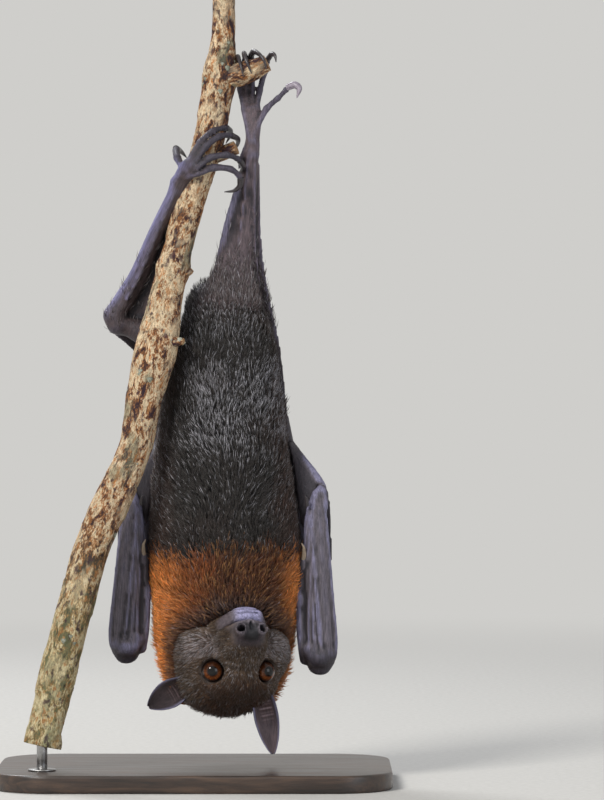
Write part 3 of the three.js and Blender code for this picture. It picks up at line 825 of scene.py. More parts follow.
@dataclass
class Head:
    """The bare head under its coat: skull, cheeks, muzzle with tubular nostrils, lips, chin and eyelids."""

    place: HeadPlace = field(default_factory=HeadPlace)
    step: float = 0.8
    eye: Sequence[float] = (14.9, -1.4, -0.9)
    eye_radius: float = 6.4
    gaze: Sequence[float] = (0.27, 0.87, 0.40)
    lid_angle: float = 85.0
    lid_thick: float = 0.6
    mouth_z: float = -17.2
    snout: Rows = ((0, -6, -4, 16, 12), (0, 8, -7, 13, 9.6), (0, 20, -10, 11, 7.2),
                   (0, 29.4, -11.6, 8.4, 5.7))
    jaw: Rows = ((0, -20, -18, 24, 11), (0, -3, -21.5, 21.5, 9.6), (0, 13, -22.6, 15, 7),
                 (0, 25.4, -23, 10, 4.8))

    def limb(self, rows: Rows, fine: int = 3) -> Limb:
        """Makes a limb whose stations are in the head's frame.

        Args:
            rows: the stations.
            fine: steps from one station to the next.

        Returns:
            The limb.
        """
        full = station_rows(rows)
        full[:, :3] = self.place.outward(full[:, :3])
        return Limb(full, self.place.axes[0], fine)

    def egg(self, centre: Sequence[float], radii: Sequence[float]) -> Egg:
        """An egg in the head's frame."""
        return Egg(self.place.outward(centre), radii, self.place.axes)

    def eye_centre(self, side: BodySide) -> np.ndarray:
        """The middle of an eye, from its CAD node."""
        low, high = node_box(f"eye_{side.label}")
        return (low + high) / 2

    def gaze_axes(self, side: BodySide) -> np.ndarray:
        """Finds the axes of an eye.

        Args:
            side: which eye.

        Returns:
            The axes as rows: towards the nose, towards the crown, and the way it looks.
        """
        look = unit(np.array([side.value * self.gaze[0], self.gaze[1], self.gaze[2]])) @ self.place.axes
        nasal = -side.value * self.place.axes[0]
        nasal = unit(nasal - look * (nasal @ look))
        crown = np.cross(look, nasal)
        crown = crown if crown @ self.place.axes[2] > 0 else -crown
        return np.array([nasal, crown, look])

    def around_eye(self, side: BodySide, turn: float, angle: float, lift: float) -> np.ndarray:
        """Finds a place beside an eye.

        Args:
            side: which eye.
            turn: the way round, from the nose towards the crown, in radians.
            angle: degrees away from the gaze.
            lift: how far it is off the eyeball.

        Returns:
            The place.
        """
        nasal, crown, look = self.gaze_axes(side)
        reach = self.eye_radius + lift
        flat = nasal * math.cos(turn) + crown * math.sin(turn)
        bend = math.radians(angle)
        return self.eye_centre(side) + reach * (look * math.cos(bend) + flat * math.sin(bend))

    def ring(self, side: BodySide, angle: float, lift: float, thick: float, crownward: float = 0.0) -> Limb:
        """Makes a rounded ring about an eye.

        Args:
            side: which eye.
            angle: degrees away from the gaze.
            lift: how far it is off the eyeball.
            thick: its half thickness.
            crownward: by which share it is thicker towards the crown, and thinner below.

        Returns:
            The ring.
        """
        rows = []
        for turn in np.linspace(0, 2 * math.pi, 25):
            size = thick * (1 + crownward * math.sin(turn))
            rows.append([*self.around_eye(side, turn, angle, lift), size, size])
        return Limb(rows, self.gaze_axes(side)[2], 1)

    def add_skull(self, body: Field) -> None:
        """Joins the big rounded shapes.

        Args:
            body: the head's field.
        """
        body.join(self.egg((0, -23, -2.5), (26.2, 21.4, 14.6)))
        body.join(self.egg((0, -7, 0.8), (17.6, 14.8, 11.8)), 5)
        for side in BodySide:
            body.join(self.egg((side.value * 16.5, -13, -9.5), (12, 15.5, 12.6)), 5)
            body.join(self.egg((side.value * 18, -5, -16), (12.4, 15, 11)), 6)  # jowls
        body.join(self.limb(self.snout), 4)
        body.join(self.limb(self.jaw), 1.6)
        for side in BodySide:
            body.join(self.egg((side.value * 7.4, 17, -8.2), (4.6, 9, 5.4)), 3)  # whisker pads
            body.join(self.egg((side.value * 12.4, -4.4, 5.2), (5.4, 6.6, 4.4)), 3)  # ridges over the eyes

    def add_nose(self, body: Field) -> None:
        """Joins the two nostril tubes, and carves their openings and the cleft between them.

        Args:
            body: the head's field.
        """
        for side in BodySide:
            s = side.value
            tube = [[s * 3.6, 26, -10.2, 3.4], [s * 5.2, 31, -10.6, 3.6], [s * 6.3, 34.2, -10.8, 3.3]]
            body.join(self.limb(tube), 1.0)
        cleft = [[0, 37.4, -6, 1.4], [0, 35.4, -10.4, 1.6], [0, 34, -13.4, 1.1], [0, 33, -16, 0.6]]
        body.cut(self.limb(cleft), 0.9)
        for side in BodySide:
            s = side.value
            opening = [[s * 7.4, 38.4, -10.6, 2.7], [s * 6.3, 34.6, -10.8, 2.4], [s * 4.4, 29, -11.2, 1.5]]
            body.cut(self.limb(opening), 0.4)
            body.cut(self.limb([[s * 7.6, 35.8, -11.8, 0.9], [s * 9, 33, -13, 0.5]]), 0.4)

    def add_lips(self, body: Field) -> None:
        """Joins the lips and carves the line of the shut mouth and the creases beside it.

        Args:
            body: the head's field.
        """
        for side in BodySide:
            s = side.value
            upper = [[s * 14, 4, -14, 2.6], [s * 12.4, 13, -14.3, 2.6], [s * 10.3, 22, -14.8, 2.4],
                     [s * 6.2, 29.2, -15.2, 2.3], [0, 31.6, -15.3, 2.2]]
            lower = [[s * 13.8, 5, -20, 2.4], [s * 12, 13, -20.2, 2.3], [s * 9.8, 21, -20.4, 2.1],
                     [s * 5.7, 27, -20.7, 2], [0, 28.8, -20.7, 1.9]]
            body.join(self.limb(upper), 2.0)
            body.join(self.limb(lower), 2.0)
        for side in BodySide:
            s = side.value
            z = self.mouth_z
            mouth = [[s * 19, 3, z + 0.8, 0.5], [s * 16.4, 8, z, 0.8], [s * 14.2, 15, z - 0.2, 0.8],
                     [s * 11.2, 24, z - 0.3, 0.8], [s * 6.5, 30.6, z - 0.3, 0.8], [0, 32.8, z - 0.3, 0.8]]
            body.cut(self.limb(mouth), 0.8)
            for drop, out, wide in ((-5.6, 31.2, 0.5), (-8.0, 30.9, 0.5), (-10.2, 30.2, 0.45)):
                crease = [[s * 9.8, out - 8.6, z + drop, wide], [s * 5.6, out - 2.6, z + drop, wide],
                          [0, out - 0.6, z + drop + 0.3, wide]]
                body.cut(self.limb(crease), 0.6)

    def add_lids(self, body: Field, side: BodySide) -> None:
        """Joins both lids and the fold over the upper one, and carves the corner towards the nose.

        Args:
            body: the head's field.
            side: which eye they are for.
        """
        look = self.gaze_axes(side)[2]
        centre = self.eye_centre(side)
        opening = [[*(centre + look * reach), size] for reach, size in ((1.2, 6.5), (6, 7.8), (14, 11))]
        body.cut(Limb(opening, self.place.axes[0], 1), 1.6)
        body.join(self.ring(side, self.lid_angle, 0.1, self.lid_thick, 0.25), 1.0)
        body.cut(self.ring(side, 99, 1.6, 0.4), 1.0)
        body.join(self.ring(side, 107, 2.3, 0.8, 0.5), 1.8)
        corner = self.around_eye(side, -0.12, 96, 2.4)
        for turn in (-0.62, 0.5):
            start = self.around_eye(side, turn, self.lid_angle + 2, 0.3)
            body.join(Limb([[*start, 0.9], [*((start + corner) / 2), 0.9], [*corner, 0.7]]), 1.0)
        start = self.around_eye(side, -0.08, self.lid_angle, 0.6)
        body.cut(Limb([[*start, 0.7], [*corner, 0.45]]), 0.4)

    def field(self) -> Field:
        """Grows the head.

        Returns:
            The field of distances to it.
        """
        low, high = node_box("head", "muzzle", "jaw")
        body = Field(low - 3, high + 3, self.step)
        self.add_skull(body)
        self.add_lips(body)
        self.add_nose(body)
        for side in BodySide:
            self.add_lids(body, side)
        return body

    def shell(self, body: Field, markings: Markings) -> Shell:
        """Draws the head's skin and colours it.

        Args:
            body: the head's field.
            markings: the bat's colours.

        Returns:
            The shell.
        """
        points, faces = body.surface()
        points = relax(points, faces, 2)
        shell = Shell(points, faces)
        local = self.place.inward(points)
        x, y, z = local.T
        muzzle = ease(y + 0.2 * np.abs(z + 10), 22, 29)
        chin = ease(y, 10, 19) * ease(-z, 16.5, 19)
        bare = np.clip(muzzle + chin, 0, 1)
        head_relief_shading = relief(points, faces, shell.normals)
        skin = blend(markings.dusk * 1.05, markings.slate * 0.95, ease(-z, 6, 13))
        # dark nose pad, darkened further as painted shade in the recess between the nostrils
        pad = ease(y, 27, 31) * (1 - ease(-z, 13, 15.5)) * (1 - ease(np.abs(x), 3.2, 5))
        skin = blend(skin, markings.soot * 0.45, pad)
        skin = blend(skin, markings.face * 0.6, 0.7 * ease(np.abs(x), 6, 10))
        # painted sheen: a pale lilac sky reflection on the top of the chin
        painted_chin_sheen = chin * (1 - 0.9 * ease(np.abs(x - 1), 4.5, 10))
        skin = blend(skin, markings.lilac * 1.3, painted_chin_sheen)
        # painted shade in the creases and painted highlight on the ridges, from the surface's relief
        skin = skin * np.clip(1 + head_relief_shading * 3.0, 0.15, 1.8)[:, None]
        tone = blend(markings.head(local) * 0.8, skin, bare)
        for side in BodySide:
            away = np.linalg.norm(points - self.eye_centre(side), axis=1)
            lid = 1 - ease(away, self.eye_radius + 1.0, self.eye_radius + 1.8)
            tone = blend(tone, markings.face * 0.42, lid * 0.9)
            bare = np.maximum(bare, lid)
            hole = self.place.outward((side.value * 6.4, 35, -10.8))
            apart = np.linalg.norm(points - hole, axis=1)
            # painted highlight on the proud rim round each nostril
            rim = ease(head_relief_shading, 0.02, 0.2) * (1 - ease(apart, 4.2, 5.4))
            tone = blend(tone, markings.slate * 1.5, 0.7 * rim)
            # painted shade: near black deep inside each nostril's opening
            inside = 1 - ease(apart, 2.6, 3.8)
            tone = blend(tone, np.array([0.004, 0.003, 0.003]), inside * ease(-head_relief_shading, 0.0, 0.22))
        shell.colour, shell.bare, shell.place = tone, bare, local[:, [0, 2, 1]] * np.array([1, 1, 4.0])
        return shell


@dataclass(frozen=True)
class Ear:
    """A cupped leaf with a rounded tip, ribbed inside near its base."""

    base: Sequence[float]
    points_to: Sequence[float]
    width_way: Sequence[float]
    cup: float
    bend: float
    length: float = 35.0
    slim: float = 1.0
    # shade: how far the inner face is darkened, as painted shade
    shade: float = 1.0
    wrap: float = 1.15
    thick: float = 1.15
    outline: Rows = ((-0.25, 5.0), (0, 6.3), (0.2, 7.7), (0.45, 7.9), (0.7, 6.2), (0.88, 3.7), (0.97, 1.9),
                     (1, 0.7))
    rows: int = 56
    columns: int = 28

    def sheet(self, reach: np.ndarray, turn: np.ndarray) -> np.ndarray:
        """Finds places on the ear's middle surface.

        Args:
            reach: how far along it they are, one at the tip.
            turn: how far across it they are, from -1 to 1.

        Returns:
            The places.
        """
        along = unit(np.array(self.points_to, float))
        across = np.array(self.width_way, float)
        across = unit(across - along * (across @ along))
        back = np.cross(along, across)
        back = back if back[1] > 0 else -back
        table = thread(self.outline, 6)
        half = self.slim * np.interp(reach, table[:, 0], table[:, 1])
        angle = turn * self.wrap
        curl = self.cup * (1 - 0.75 * np.clip(reach, -0.2, 1))
        lift = curl * (np.cos(angle) - 0.4) + self.bend * reach * np.abs(reach)
        return (np.array(self.base) + along * (self.length * reach)[..., None]
                + across * (half * np.sin(angle) / math.sin(self.wrap))[..., None] + back * lift[..., None])

    def shell(self, markings: Markings) -> Shell:
        """Draws both faces of the ear and its rim.

        Args:
            markings: the bat's colours.

        Returns:
            The shell.
        """
        reach, turn = np.meshgrid(np.linspace(-0.25, 1, self.rows), np.linspace(-1, 1, self.columns),
                                  indexing="ij")
        middle = self.sheet(reach, turn)
        normal = unit(np.cross(np.gradient(middle, axis=0), np.gradient(middle, axis=1)))
        normal = normal if normal[self.rows // 2, self.columns // 2, 1] < 0 else -normal
        half = self.thick / 2 * (1 - 0.55 * np.abs(turn) ** 3) * (1 - 0.3 * np.clip(reach, 0, 1))
        ribs = ease(reach, 0.05, 0.12) * (1 - ease(reach, 0.36, 0.5))
        ribs = ribs * (1 - ease(np.abs(turn - 0.1), 0.25, 0.6))
        rib = ribs * np.maximum(np.sin(reach * math.pi * 2 * 17), 0) ** 2
        wave = Grain(7, 21).at(middle) * 0.25 * (1 - np.abs(turn))
        front = middle + normal * (half + 0.45 * rib + wave)[..., None]
        rear = middle - normal * (half - wave)[..., None]
        flat = self.rows * self.columns
        number = np.arange(flat).reshape(self.rows, self.columns)
        corners = [number[:-1, :-1], number[1:, :-1], number[1:, 1:], number[:-1, 1:]]
        sheet = np.stack(corners, -1).reshape(-1, 4)
        rim = np.concatenate([number[:, 0], number[-1, 1:], number[-2::-1, -1], number[0, -2:0:-1]])
        after = np.roll(rim, -1)
        edge = np.stack([rim, after, after + flat, rim + flat], -1)
        faces = np.vstack([sheet[:, ::-1], sheet + flat, edge])
        points = np.vstack([front.reshape(-1, 3), rear.reshape(-1, 3)])
        shell = Shell(points, faces)
        if ((shell.normals[:flat] * normal.reshape(-1, 3)).sum(1)).mean() < 0:
            shell = Shell(points, faces[:, ::-1])
        deep = (1 - ease(reach, 0.12, 0.62)) * (1 - 0.75 * np.abs(turn) ** 2)
        veins = np.clip(1 + 0.5 * Grain(3.2, 23, 3).at(middle * np.array([1, 1, 0.5])), 0.5, 1.6)[..., None]
        inner = blend(markings.hide * 1.05 * veins, markings.mahogany * 0.55, deep)
        # painted highlight on the ribs; the shade factor darkens the inner face as painted shade
        inner = blend(inner, markings.hide * 3.0, rib * 0.85) * self.shade
        pale = ease(np.abs(turn), 0.7, 0.95)
        inner = blend(inner, markings.lilac * 1.25, pale * 0.8)
        outer = blend(markings.slate * 0.6, markings.soot * 1.3, 1 - ease(reach, 0, 0.5))
        shell.colour = np.vstack([inner.reshape(-1, 3), outer.reshape(-1, 3)])
        shell.bare = np.full(len(points), 0.75)
        spread = np.stack([turn * 8, np.zeros_like(turn), reach * self.length], -1).reshape(-1, 3)
        shell.place = np.vstack([spread, spread + np.array([0, 9, 0])])
        return shell


def make_ears() -> dict[BodySide, Ear]:
    """The two ears as this bat holds them: the left one back, the right one down.

    Returns:
        The ears.
    """
    return {
        # the left ear's inner face is darkened to half as painted shade
        BodySide.LEFT: Ear((-24, -15, 55.2), (-0.55, 0.75, -0.37), (0.54, 0, -0.84), 5, -1, shade=0.5),
        BodySide.RIGHT: Ear((21.4, -8, 51), (0.19, -0.04, -0.95), (1, 0.15, 0.1), 5, 3, slim=0.87),
    }


# ---- trunk, arms, wings and legs -------------------------------------------------------------------


@dataclass
class Trunk:
    """The body under its long coat: neck, chest, belly and hips, with the shoulders and the thighs' roots."""

    step: float = 3.0
    coat_depth: float = 5.5
    collar_depth: float = 7.0
    thinning: float = 2.5
    stations: Rows = (
        (-0.5, 9, 281, 19.5, 9), (-0.5, 8, 273, 24, 15), (-0.2, 6, 262, 28, 20), (0.3, 5, 246, 32, 24),
        (-1, 3, 218, 36.5, 29), (-1.7, 1, 189, 40, 31), (-0.8, 0, 161, 43, 33), (0.3, -1, 132, 44.6, 35),
        (0.5, 0, 104, 44.4, 35), (0, 3, 81, 42.2, 33), (0.5, 7, 64, 38.5, 28), (1.5, 10, 52, 33, 21),
    )
    upper_arm: Rows = ((30, 8, 114, 13), (30, 14, 150, 11), (29.5, 19, 186, 9), (31, 22, 216, 6.5))

    def middle(self, z: np.ndarray) -> np.ndarray:
        """The y of the trunk's middle line at each height."""
        rows = np.array(self.stations)[::-1]
        return np.interp(z, rows[:, 2], rows[:, 1])

    def depth(self, z: np.ndarray) -> np.ndarray:
        """How deep the coat is at each height, before it thins out on the hips."""
        return self.coat_depth + (self.collar_depth - self.coat_depth) * (1 - ease(z, 104, 140))

    def field(self) -> Field:
        """Grows the trunk.

        Returns:
            The field of distances to it.
        """
        low, high = node_box("neck", "chest", "belly", "hips", "upper_arm_left", "upper_arm_right",
                             "thigh_left", "thigh_right")
        body = Field(low - 4, high + 4, self.step)
        rows = np.array(self.stations, float)
        depth = self.depth(rows[:, 2]) - self.thinning * ease(rows[:, 2], 262, 286)
        rows[:, 3:] -= depth[:, None]
        body.join(Limb(rows))
        for side in BodySide:
            arm = [[side.value * x, y, z, r, r] for x, y, z, r in self.upper_arm]
            body.join(Limb(arm, inset=4.0), 8)
            body.join(Limb(LEGS[side].thigh[:3], inset=4.5), 8)
        return body

    def shell(self, body: Field, markings: Markings) -> Shell:
        """Draws the trunk's skin in the colours of the coat over it.

        Args:
            body: the trunk's field.
            markings: the bat's colours.

        Returns:
            The shell.
        """
        points, faces = body.surface()
        shell = Shell(relax(points, faces, 2), faces)
        shell.bare = self.bald(shell.points)
        shell.colour = blend(markings.trunk(shell.points) * 0.6, markings.thin_haired(shell.points),
                             shell.bare)
        shell.place = shell.points
        return shell

    def bald(self, points: np.ndarray) -> np.ndarray:
        """Finds how bare the hips are: the coat gives way to the skin of the right leg's web.

        Args:
            points: the places.

        Returns:
            How bare each place is, from 0 to 1.
        """
        x, y, z = points.T
        edge = 7 * Grain(8, 17, 3).at(points)
        return ease(z + edge, 254, 284) * ease(x + edge, -24, -8) * (1 - ease(y, 8, 16))


@dataclass(frozen=True)
class Leg:
    """A leg: thigh, shin, the foot with its five toes and spur, and the narrow web beside it."""

    thigh: Rows
    shin: Rows
    sole: Rows
    spur: Rows
    toes: Sequence[Rows]
    claws: Sequence[Rows]
    web_leg: Rows
    web_free: Rows
    tendons: Sequence[Rows] = ()
    apron: Rows = ()


LEGS = {
    BodySide.LEFT: Leg(
        thigh=((-14, 8, 232, 13, 12), (-30, 9, 247, 12, 11), (-50, 9, 257.5, 9, 8.5),
               (-61, 8.5, 261.5, 7.2, 7)),
        shin=((-63.2, 8, 266, 6, 6), (-55.5, 6, 278, 6, 5.6), (-48.6, 3, 290, 5.4, 5.2),
              (-38.4, -2, 314, 4.6, 4.6), (-27, -7, 337, 4.4, 4.2)),
        sole=((-26, -8.5, 341, 4.8, 3.6), (-22, -11.5, 346, 6, 3.8), (-18.5, -14, 350.5, 6.2, 3.4)),
        spur=((-22, -8, 338, 1.6), (-18.6, -7.5, 330, 1.3), (-18, -7, 325, 0.9)),
        toes=(
            ((-23.5, -11.8, 350, 2.3), (-26.6, -9.2, 355.2, 2.4), (-27.4, -3.8, 359.6, 2.3)),
            ((-19.5, -14, 354, 2.2), (-13.4, -14.6, 363.6, 2.2), (-6.4, -10.8, 370.2, 2.1),
             (-0.6, -3.6, 372.4, 1.9)),
            ((-17.5, -15, 353, 2.2), (-10, -15.2, 361.6, 2.3), (-2.8, -12, 367.2, 2.1),
             (2.4, -7, 368.2, 1.9)),
            ((-15.5, -15, 351, 2.2), (-7.6, -15.2, 355, 2.3), (1.4, -13.2, 356.6, 2.1),
             (7.4, -8.6, 354.8, 1.9)),
            ((-14.5, -14.4, 347.5, 2.2), (-5.6, -14, 349.4, 2.3), (3.4, -11.6, 348.8, 2.1),
             (8.2, -8, 345.4, 1.9)),
        ),
        claws=(
            ((-27.2, -1.2, 360.6, 1.9), (-26.2, 3.2, 360.4, 1.6), (-24.2, 7.4, 359, 1.1),
             (-22, 10.4, 356.6, 0.3)),
            ((1.6, -0.4, 372.4, 1.6), (3.4, 4.6, 371, 1.35), (2.8, 9.4, 368.4, 0.9), (0.8, 12, 365, 0.3)),
            ((4.8, -4.6, 367.8, 1.6), (7.6, 0, 366.4, 1.35), (7.4, 5, 363.6, 0.9), (5.4, 8, 360.4, 0.3)),
            ((9.2, -6, 353.2, 1.6), (10.6, -2, 350.8, 1.35), (9.6, 2.4, 348.2, 0.9), (6.8, 5.4, 346.4, 0.3)),
            ((9.2, -6.6, 343, 1.6), (8.6, -4.4, 339.2, 1.35), (5.2, -3, 336.8, 0.9), (0.4, -3, 336.2, 0.3)),
        ),
        web_leg=((-27, -2, 333), (-38, 1, 313), (-48, 6, 288), (-56, 9, 270), (-50, 11, 256)),
        web_free=((-22, -3, 333), (-26, 2, 313), (-30, 7, 288), (-30, 9, 268), (-26, 10, 254)),
        tendons=(
            ((-27, -11, 337, 1.0), (-37.6, -6.4, 314, 0.9), (-47.4, -2.2, 290, 0.9), (-56, 0.6, 274, 0.7)),
        ),
    ),
    BodySide.RIGHT: Leg(
        thigh=((10, 8, 238, 12, 12), (9.6, 11, 256, 11, 11), (9.2, 14, 272, 9, 9), (8.8, 14, 281, 7.6, 7.6)),
        shin=((9, 13.5, 287, 8, 6.4), (10.4, 11, 304, 7.4, 5.6), (12, 8.4, 326, 6.2, 5),
              (13.6, 6, 342, 5.2, 4.6), (15.2, 4, 358, 4.4, 4.2)),
        sole=((15.8, 4, 363, 4.2, 3.6), (16.2, 4.6, 374, 5.2, 3.5), (15, 6.6, 384, 6.4, 3.2)),
        spur=((12, 3, 361, 1.6), (9, 3, 355, 1.2), (8.4, 3, 350, 0.8)),
        toes=(
            ((11.6, 7, 383, 2), (9, 11.8, 395, 2.1), (7.8, 14, 404, 2), (7.8, 12, 409.8, 1.9)),
            ((13.4, 7.4, 384, 2), (12, 12.2, 396, 2.1), (11.8, 13, 406, 2), (11.6, 9.6, 412, 1.9)),
            ((15.6, 7.4, 384, 2), (15.6, 12.2, 396, 2.1), (15.8, 12.6, 406, 2), (15.4, 9.2, 412.4, 1.9)),
            ((17.8, 7, 383, 2), (20, 11, 395, 2.1), (22.6, 11.4, 405, 2), (24, 8.6, 410.6, 1.9)),
            ((17.4, 5, 373, 2.4), (24, 3.8, 384, 2.1), (30.4, 0.6, 389.6, 1.9), (35, -2.4, 394.2, 1.8)),
        ),
        claws=(
            ((7.8, 9.2, 411.8, 1.6), (7.6, 4.6, 413.6, 1.4), (8, 0, 412.6, 1.2), (9.4, -5.4, 407.8, 0.8),
             (10.8, -6.8, 402.4, 0.3)),
            ((11.6, 6.4, 414, 1.6), (11.2, 2, 415.4, 1.4), (11.6, -3.4, 413.6, 1.2), (13.2, -6.6, 408.8, 0.8),
             (15.4, -7, 403.6, 0.3)),
            ((15.4, 6, 415, 1.6), (16.8, 1.6, 416.4, 1.45), (20, -4.6, 414.2, 1.1), (22.6, -7.2, 410.6, 0.8),
             (23.8, -7.2, 406, 0.3)),
            ((25.2, 5.4, 413, 1.5), (27, 1.8, 415, 1.3), (28.8, -1.6, 413.8, 0.9), (29.4, -3.2, 410.4, 0.3)),
            ((36.8, -3.6, 395.9, 1.7), (40.2, -5, 396.9, 1.8), (42.6, -6.2, 394.6, 1.5),
             (41.4, -6.6, 389.8, 0.35)),
        ),
        web_leg=((12, 5, 338), (11, 8, 318), (9.5, 12, 296), (8, 12, 276), (8, 10, 262)),
        web_free=((7, 4, 338), (1, 7, 318), (-4, 10, 296), (-9, 10, 276), (-13, 9, 262)),
        tendons=(
            ((16.6, 1.4, 366, 1.1), (17.1, 2.9, 338, 0.9), (17.4, 7.6, 307, 0.8), (20.5, 11, 278, 0.7)),
            ((14, 0.2, 360, 0.9), (11.6, 2.0, 335, 0.7), (8.4, 5.2, 310, 0.6), (6, 8.4, 288, 0.5)),
        ),
        apron=((7, 10, 310, 6.5, 2.6), (5.6, 7.6, 298, 9.5, 3.2), (4.4, 4.4, 286, 13.5, 4.4),
               (3.4, 1, 273, 17.5, 6.4)),
    ),
}

WING_EDGES = {
    BodySide.LEFT: (
        ((-27, 4, 330), (-45, 12, 293), (-52, 17, 266), (-36, 28, 240), (-27, 31, 214),
         (-27, 32, 190), (-27, 32, 172), (-28, 29, 146), (-31, 24, 112)),
        ((-30, 5, 331), (-53, 13, 291), (-67, 15, 263), (-50, 21, 244), (-42, 26, 218),
         (-42, 18, 189), (-56, 4, 170), (-60, 7, 150), (-60, 8.5, 96)),
    ),
    BodySide.RIGHT: (
        ((15, 6, 352), (14.5, 10, 336), (14, 14, 306), (15, 21, 280), (21, 29, 250),
         (26, 31, 214), (27, 32, 190), (27, 32, 172), (28, 29, 146), (31, 24, 112)),
        ((19, 6, 352), (19.4, 9, 336), (20.4, 13, 306), (24, 18.5, 280), (30.5, 25, 250),
         (34, 29, 220), (36, 24, 198), (44.5, 13, 185), (56, 4, 170), (60, 7, 150), (60, 8.5, 96)),
    ),
}


@dataclass
class Flank:
    """One side's bare parts: folded arm, hand and thumb, wing skin, web, leg and foot.

    The arm, the hand and the thumb are given for the right side, and carried over to the left.
    """

    side: BodySide
    step: float = 1.18
    room: tuple[float, float, float] = (10.0, 5.0, 5.0)
    knuckle_z: float = 168.0
    wrist_z: float = 70.0
    left_wrist_up: float = 6.5
    left_wrist_out: float = 1.4
    thigh_inset: float = 2.6
    forearm: Rows = ((32.4, 25, 207, 4.4), (35.4, 22.6, 190, 4.8), (43.2, 17, 150, 4.6),
                     (48.8, 11.5, 112, 4.2), (52.6, 6.5, 86, 4.4))
    hand: Rows = ((53.6, -2, 165, 3.4, 2.8), (52.2, -3.4, 150, 6.6, 4.4), (53, -4.4, 126, 8, 5.6),
                  (54, -4.8, 104, 9, 6.4), (54.8, -4.2, 82, 10.4, 7.2), (54.8, -3, 72, 9.8, 7.4),
                  (54, -2, 66, 7.2, 6))
    thumb: Rows = ((46, -2, 70, 3.2), (43.6, -5, 84, 2.5), (43, -5.5, 104, 2.0), (43.8, -5, 116, 1.9),
                   (44.4, -5.6, 124.4, 1.7))
    finger_end: Rows = ((56, 2, 168, 2.1), (49.5, 8, 178, 1.6), (42, 15, 187.5, 1.5), (35, 24, 198, 1.4),
                        (30, 29, 204, 1.4))
    thumb_claw: Rows = ((44.6, -5.8, 124.6, 1.5), (45.4, -6.8, 129.4, 1.2), (45.3, -8.4, 133.4, 0.8),
                        (44.2, -9.8, 136, 0.3))
    index_claw: Rows = ((47, -8.2, 158.6, 1), (46.8, -9, 161.4, 0.8), (46, -10, 163, 0.3))
    bones: Rows = ((0.95, 0.88, 1.2), (-0.45, 0.1, 0.8), (-0.7, -0.25, 0.75), (-0.88, -0.58, 0.75),
                   (-1.0, -0.86, 0.8))
    front_skin: Sequence[Rows] = (
        ((37, 15, 193), (40, 9.5, 180), (42, 5, 164), (44.5, 1, 146)),
        ((38, 18.5, 192), (50, 7, 177), (55.5, 1, 166), (48, -2.6, 148)),
    )

    def on_side(self, rows: Rows) -> np.ndarray:
        """Carries an arm to this side. The left hand is folded a little shorter and further out.

        Args:
            rows: stations of the right arm.

        Returns:
            The stations on this side.
        """
        rows = station_rows(rows)
        if self.side is BodySide.LEFT:
            drop = np.clip((self.knuckle_z - rows[:, 2]) / (self.knuckle_z - self.wrist_z), 0, 1)
            rows[:, 0] = -rows[:, 0] - self.left_wrist_out * drop
            rows[:, 2] += self.left_wrist_up * drop
        return rows

    def bone(self, top: float, bottom: float, radius: float) -> np.ndarray:
        """A long finger bone that shows on the front of the folded hand.

        Args:
            top: where across the hand it starts, as a share of the half width.
            bottom: where across the hand it ends at the wrist.
            radius: its radius.

        Returns:
            The stations of the bone.
        """
        rows = []
        for i, (x, y, z, wide, deep) in enumerate(self.hand[:-1]):
            share = top + (bottom - top) * (i / (len(self.hand) - 2)) ** 1.2
            front = deep * math.sqrt(max(1 - share * share, 0.05)) * 0.86
            rows.append([x + share * (wide - radius * 0.6), y - front + 0.35 * radius, z, radius, radius])
        return self.on_side(rows)

    def add_arm(self, body: Field) -> None:
        """Joins the forearm, the folded hand with its bones, the knuckle, the wrist's pad and the thumb.

        Args:
            body: this side's field.
        """
        body.join(Limb(self.on_side(self.forearm), inset=0.2))
        palm = self.on_side(self.hand)
        palm[:, 3:] *= (0.92, 0.82)
        body.join(Limb(palm), 2.5)
        for top, bottom, radius in self.bones:
            body.join(Limb(self.bone(top, bottom, radius)), 0.9)
        knuckles = [[55.4, -1, 167, 2.7, 2.6], [57.2, -1.6, 163, 2.3, 2.3], [56.8, -3, 157, 2.0, 2.0]]
        body.join(Limb(self.on_side(knuckles)), 1.8)
        heel = [[49.6, -5.4, 76, 4.6, 4.2], [53.2, -7.2, 71.4, 5.2, 4.2], [58.2, -5.4, 73.6, 4.4, 4.0]]
        body.join(Limb(self.on_side(heel)), 3)
        body.join(Limb(self.on_side(self.thumb)), 1.6)
        for at, size in ((2, 2.5), (4, 2.3)):
            x, y, z = self.thumb[at][:3]
            body.join(Limb(self.on_side([[x, y, z - 1.5, size, size], [x, y, z + 1.5, size, size]])), 1.6)

    def add_wing(self, body: Field) -> None:
        """Joins the wing's skin and the folded finger end that carries it.

        Args:
            body: this side's field.
        """
        inner, outer = WING_EDGES[self.side]
        body.join(Membrane(inner, outer), 1.8)
        body.join(Limb(self.on_side(self.finger_end)), 1.8)
        inner, outer = (self.on_side([[*row, 0] for row in rows])[:, :3] for rows in self.front_skin)
        body.join(Membrane(inner, outer), 2.0)
        body.join(Membrane(LEGS[self.side].web_leg, LEGS[self.side].web_free, folds=3), 2.2)

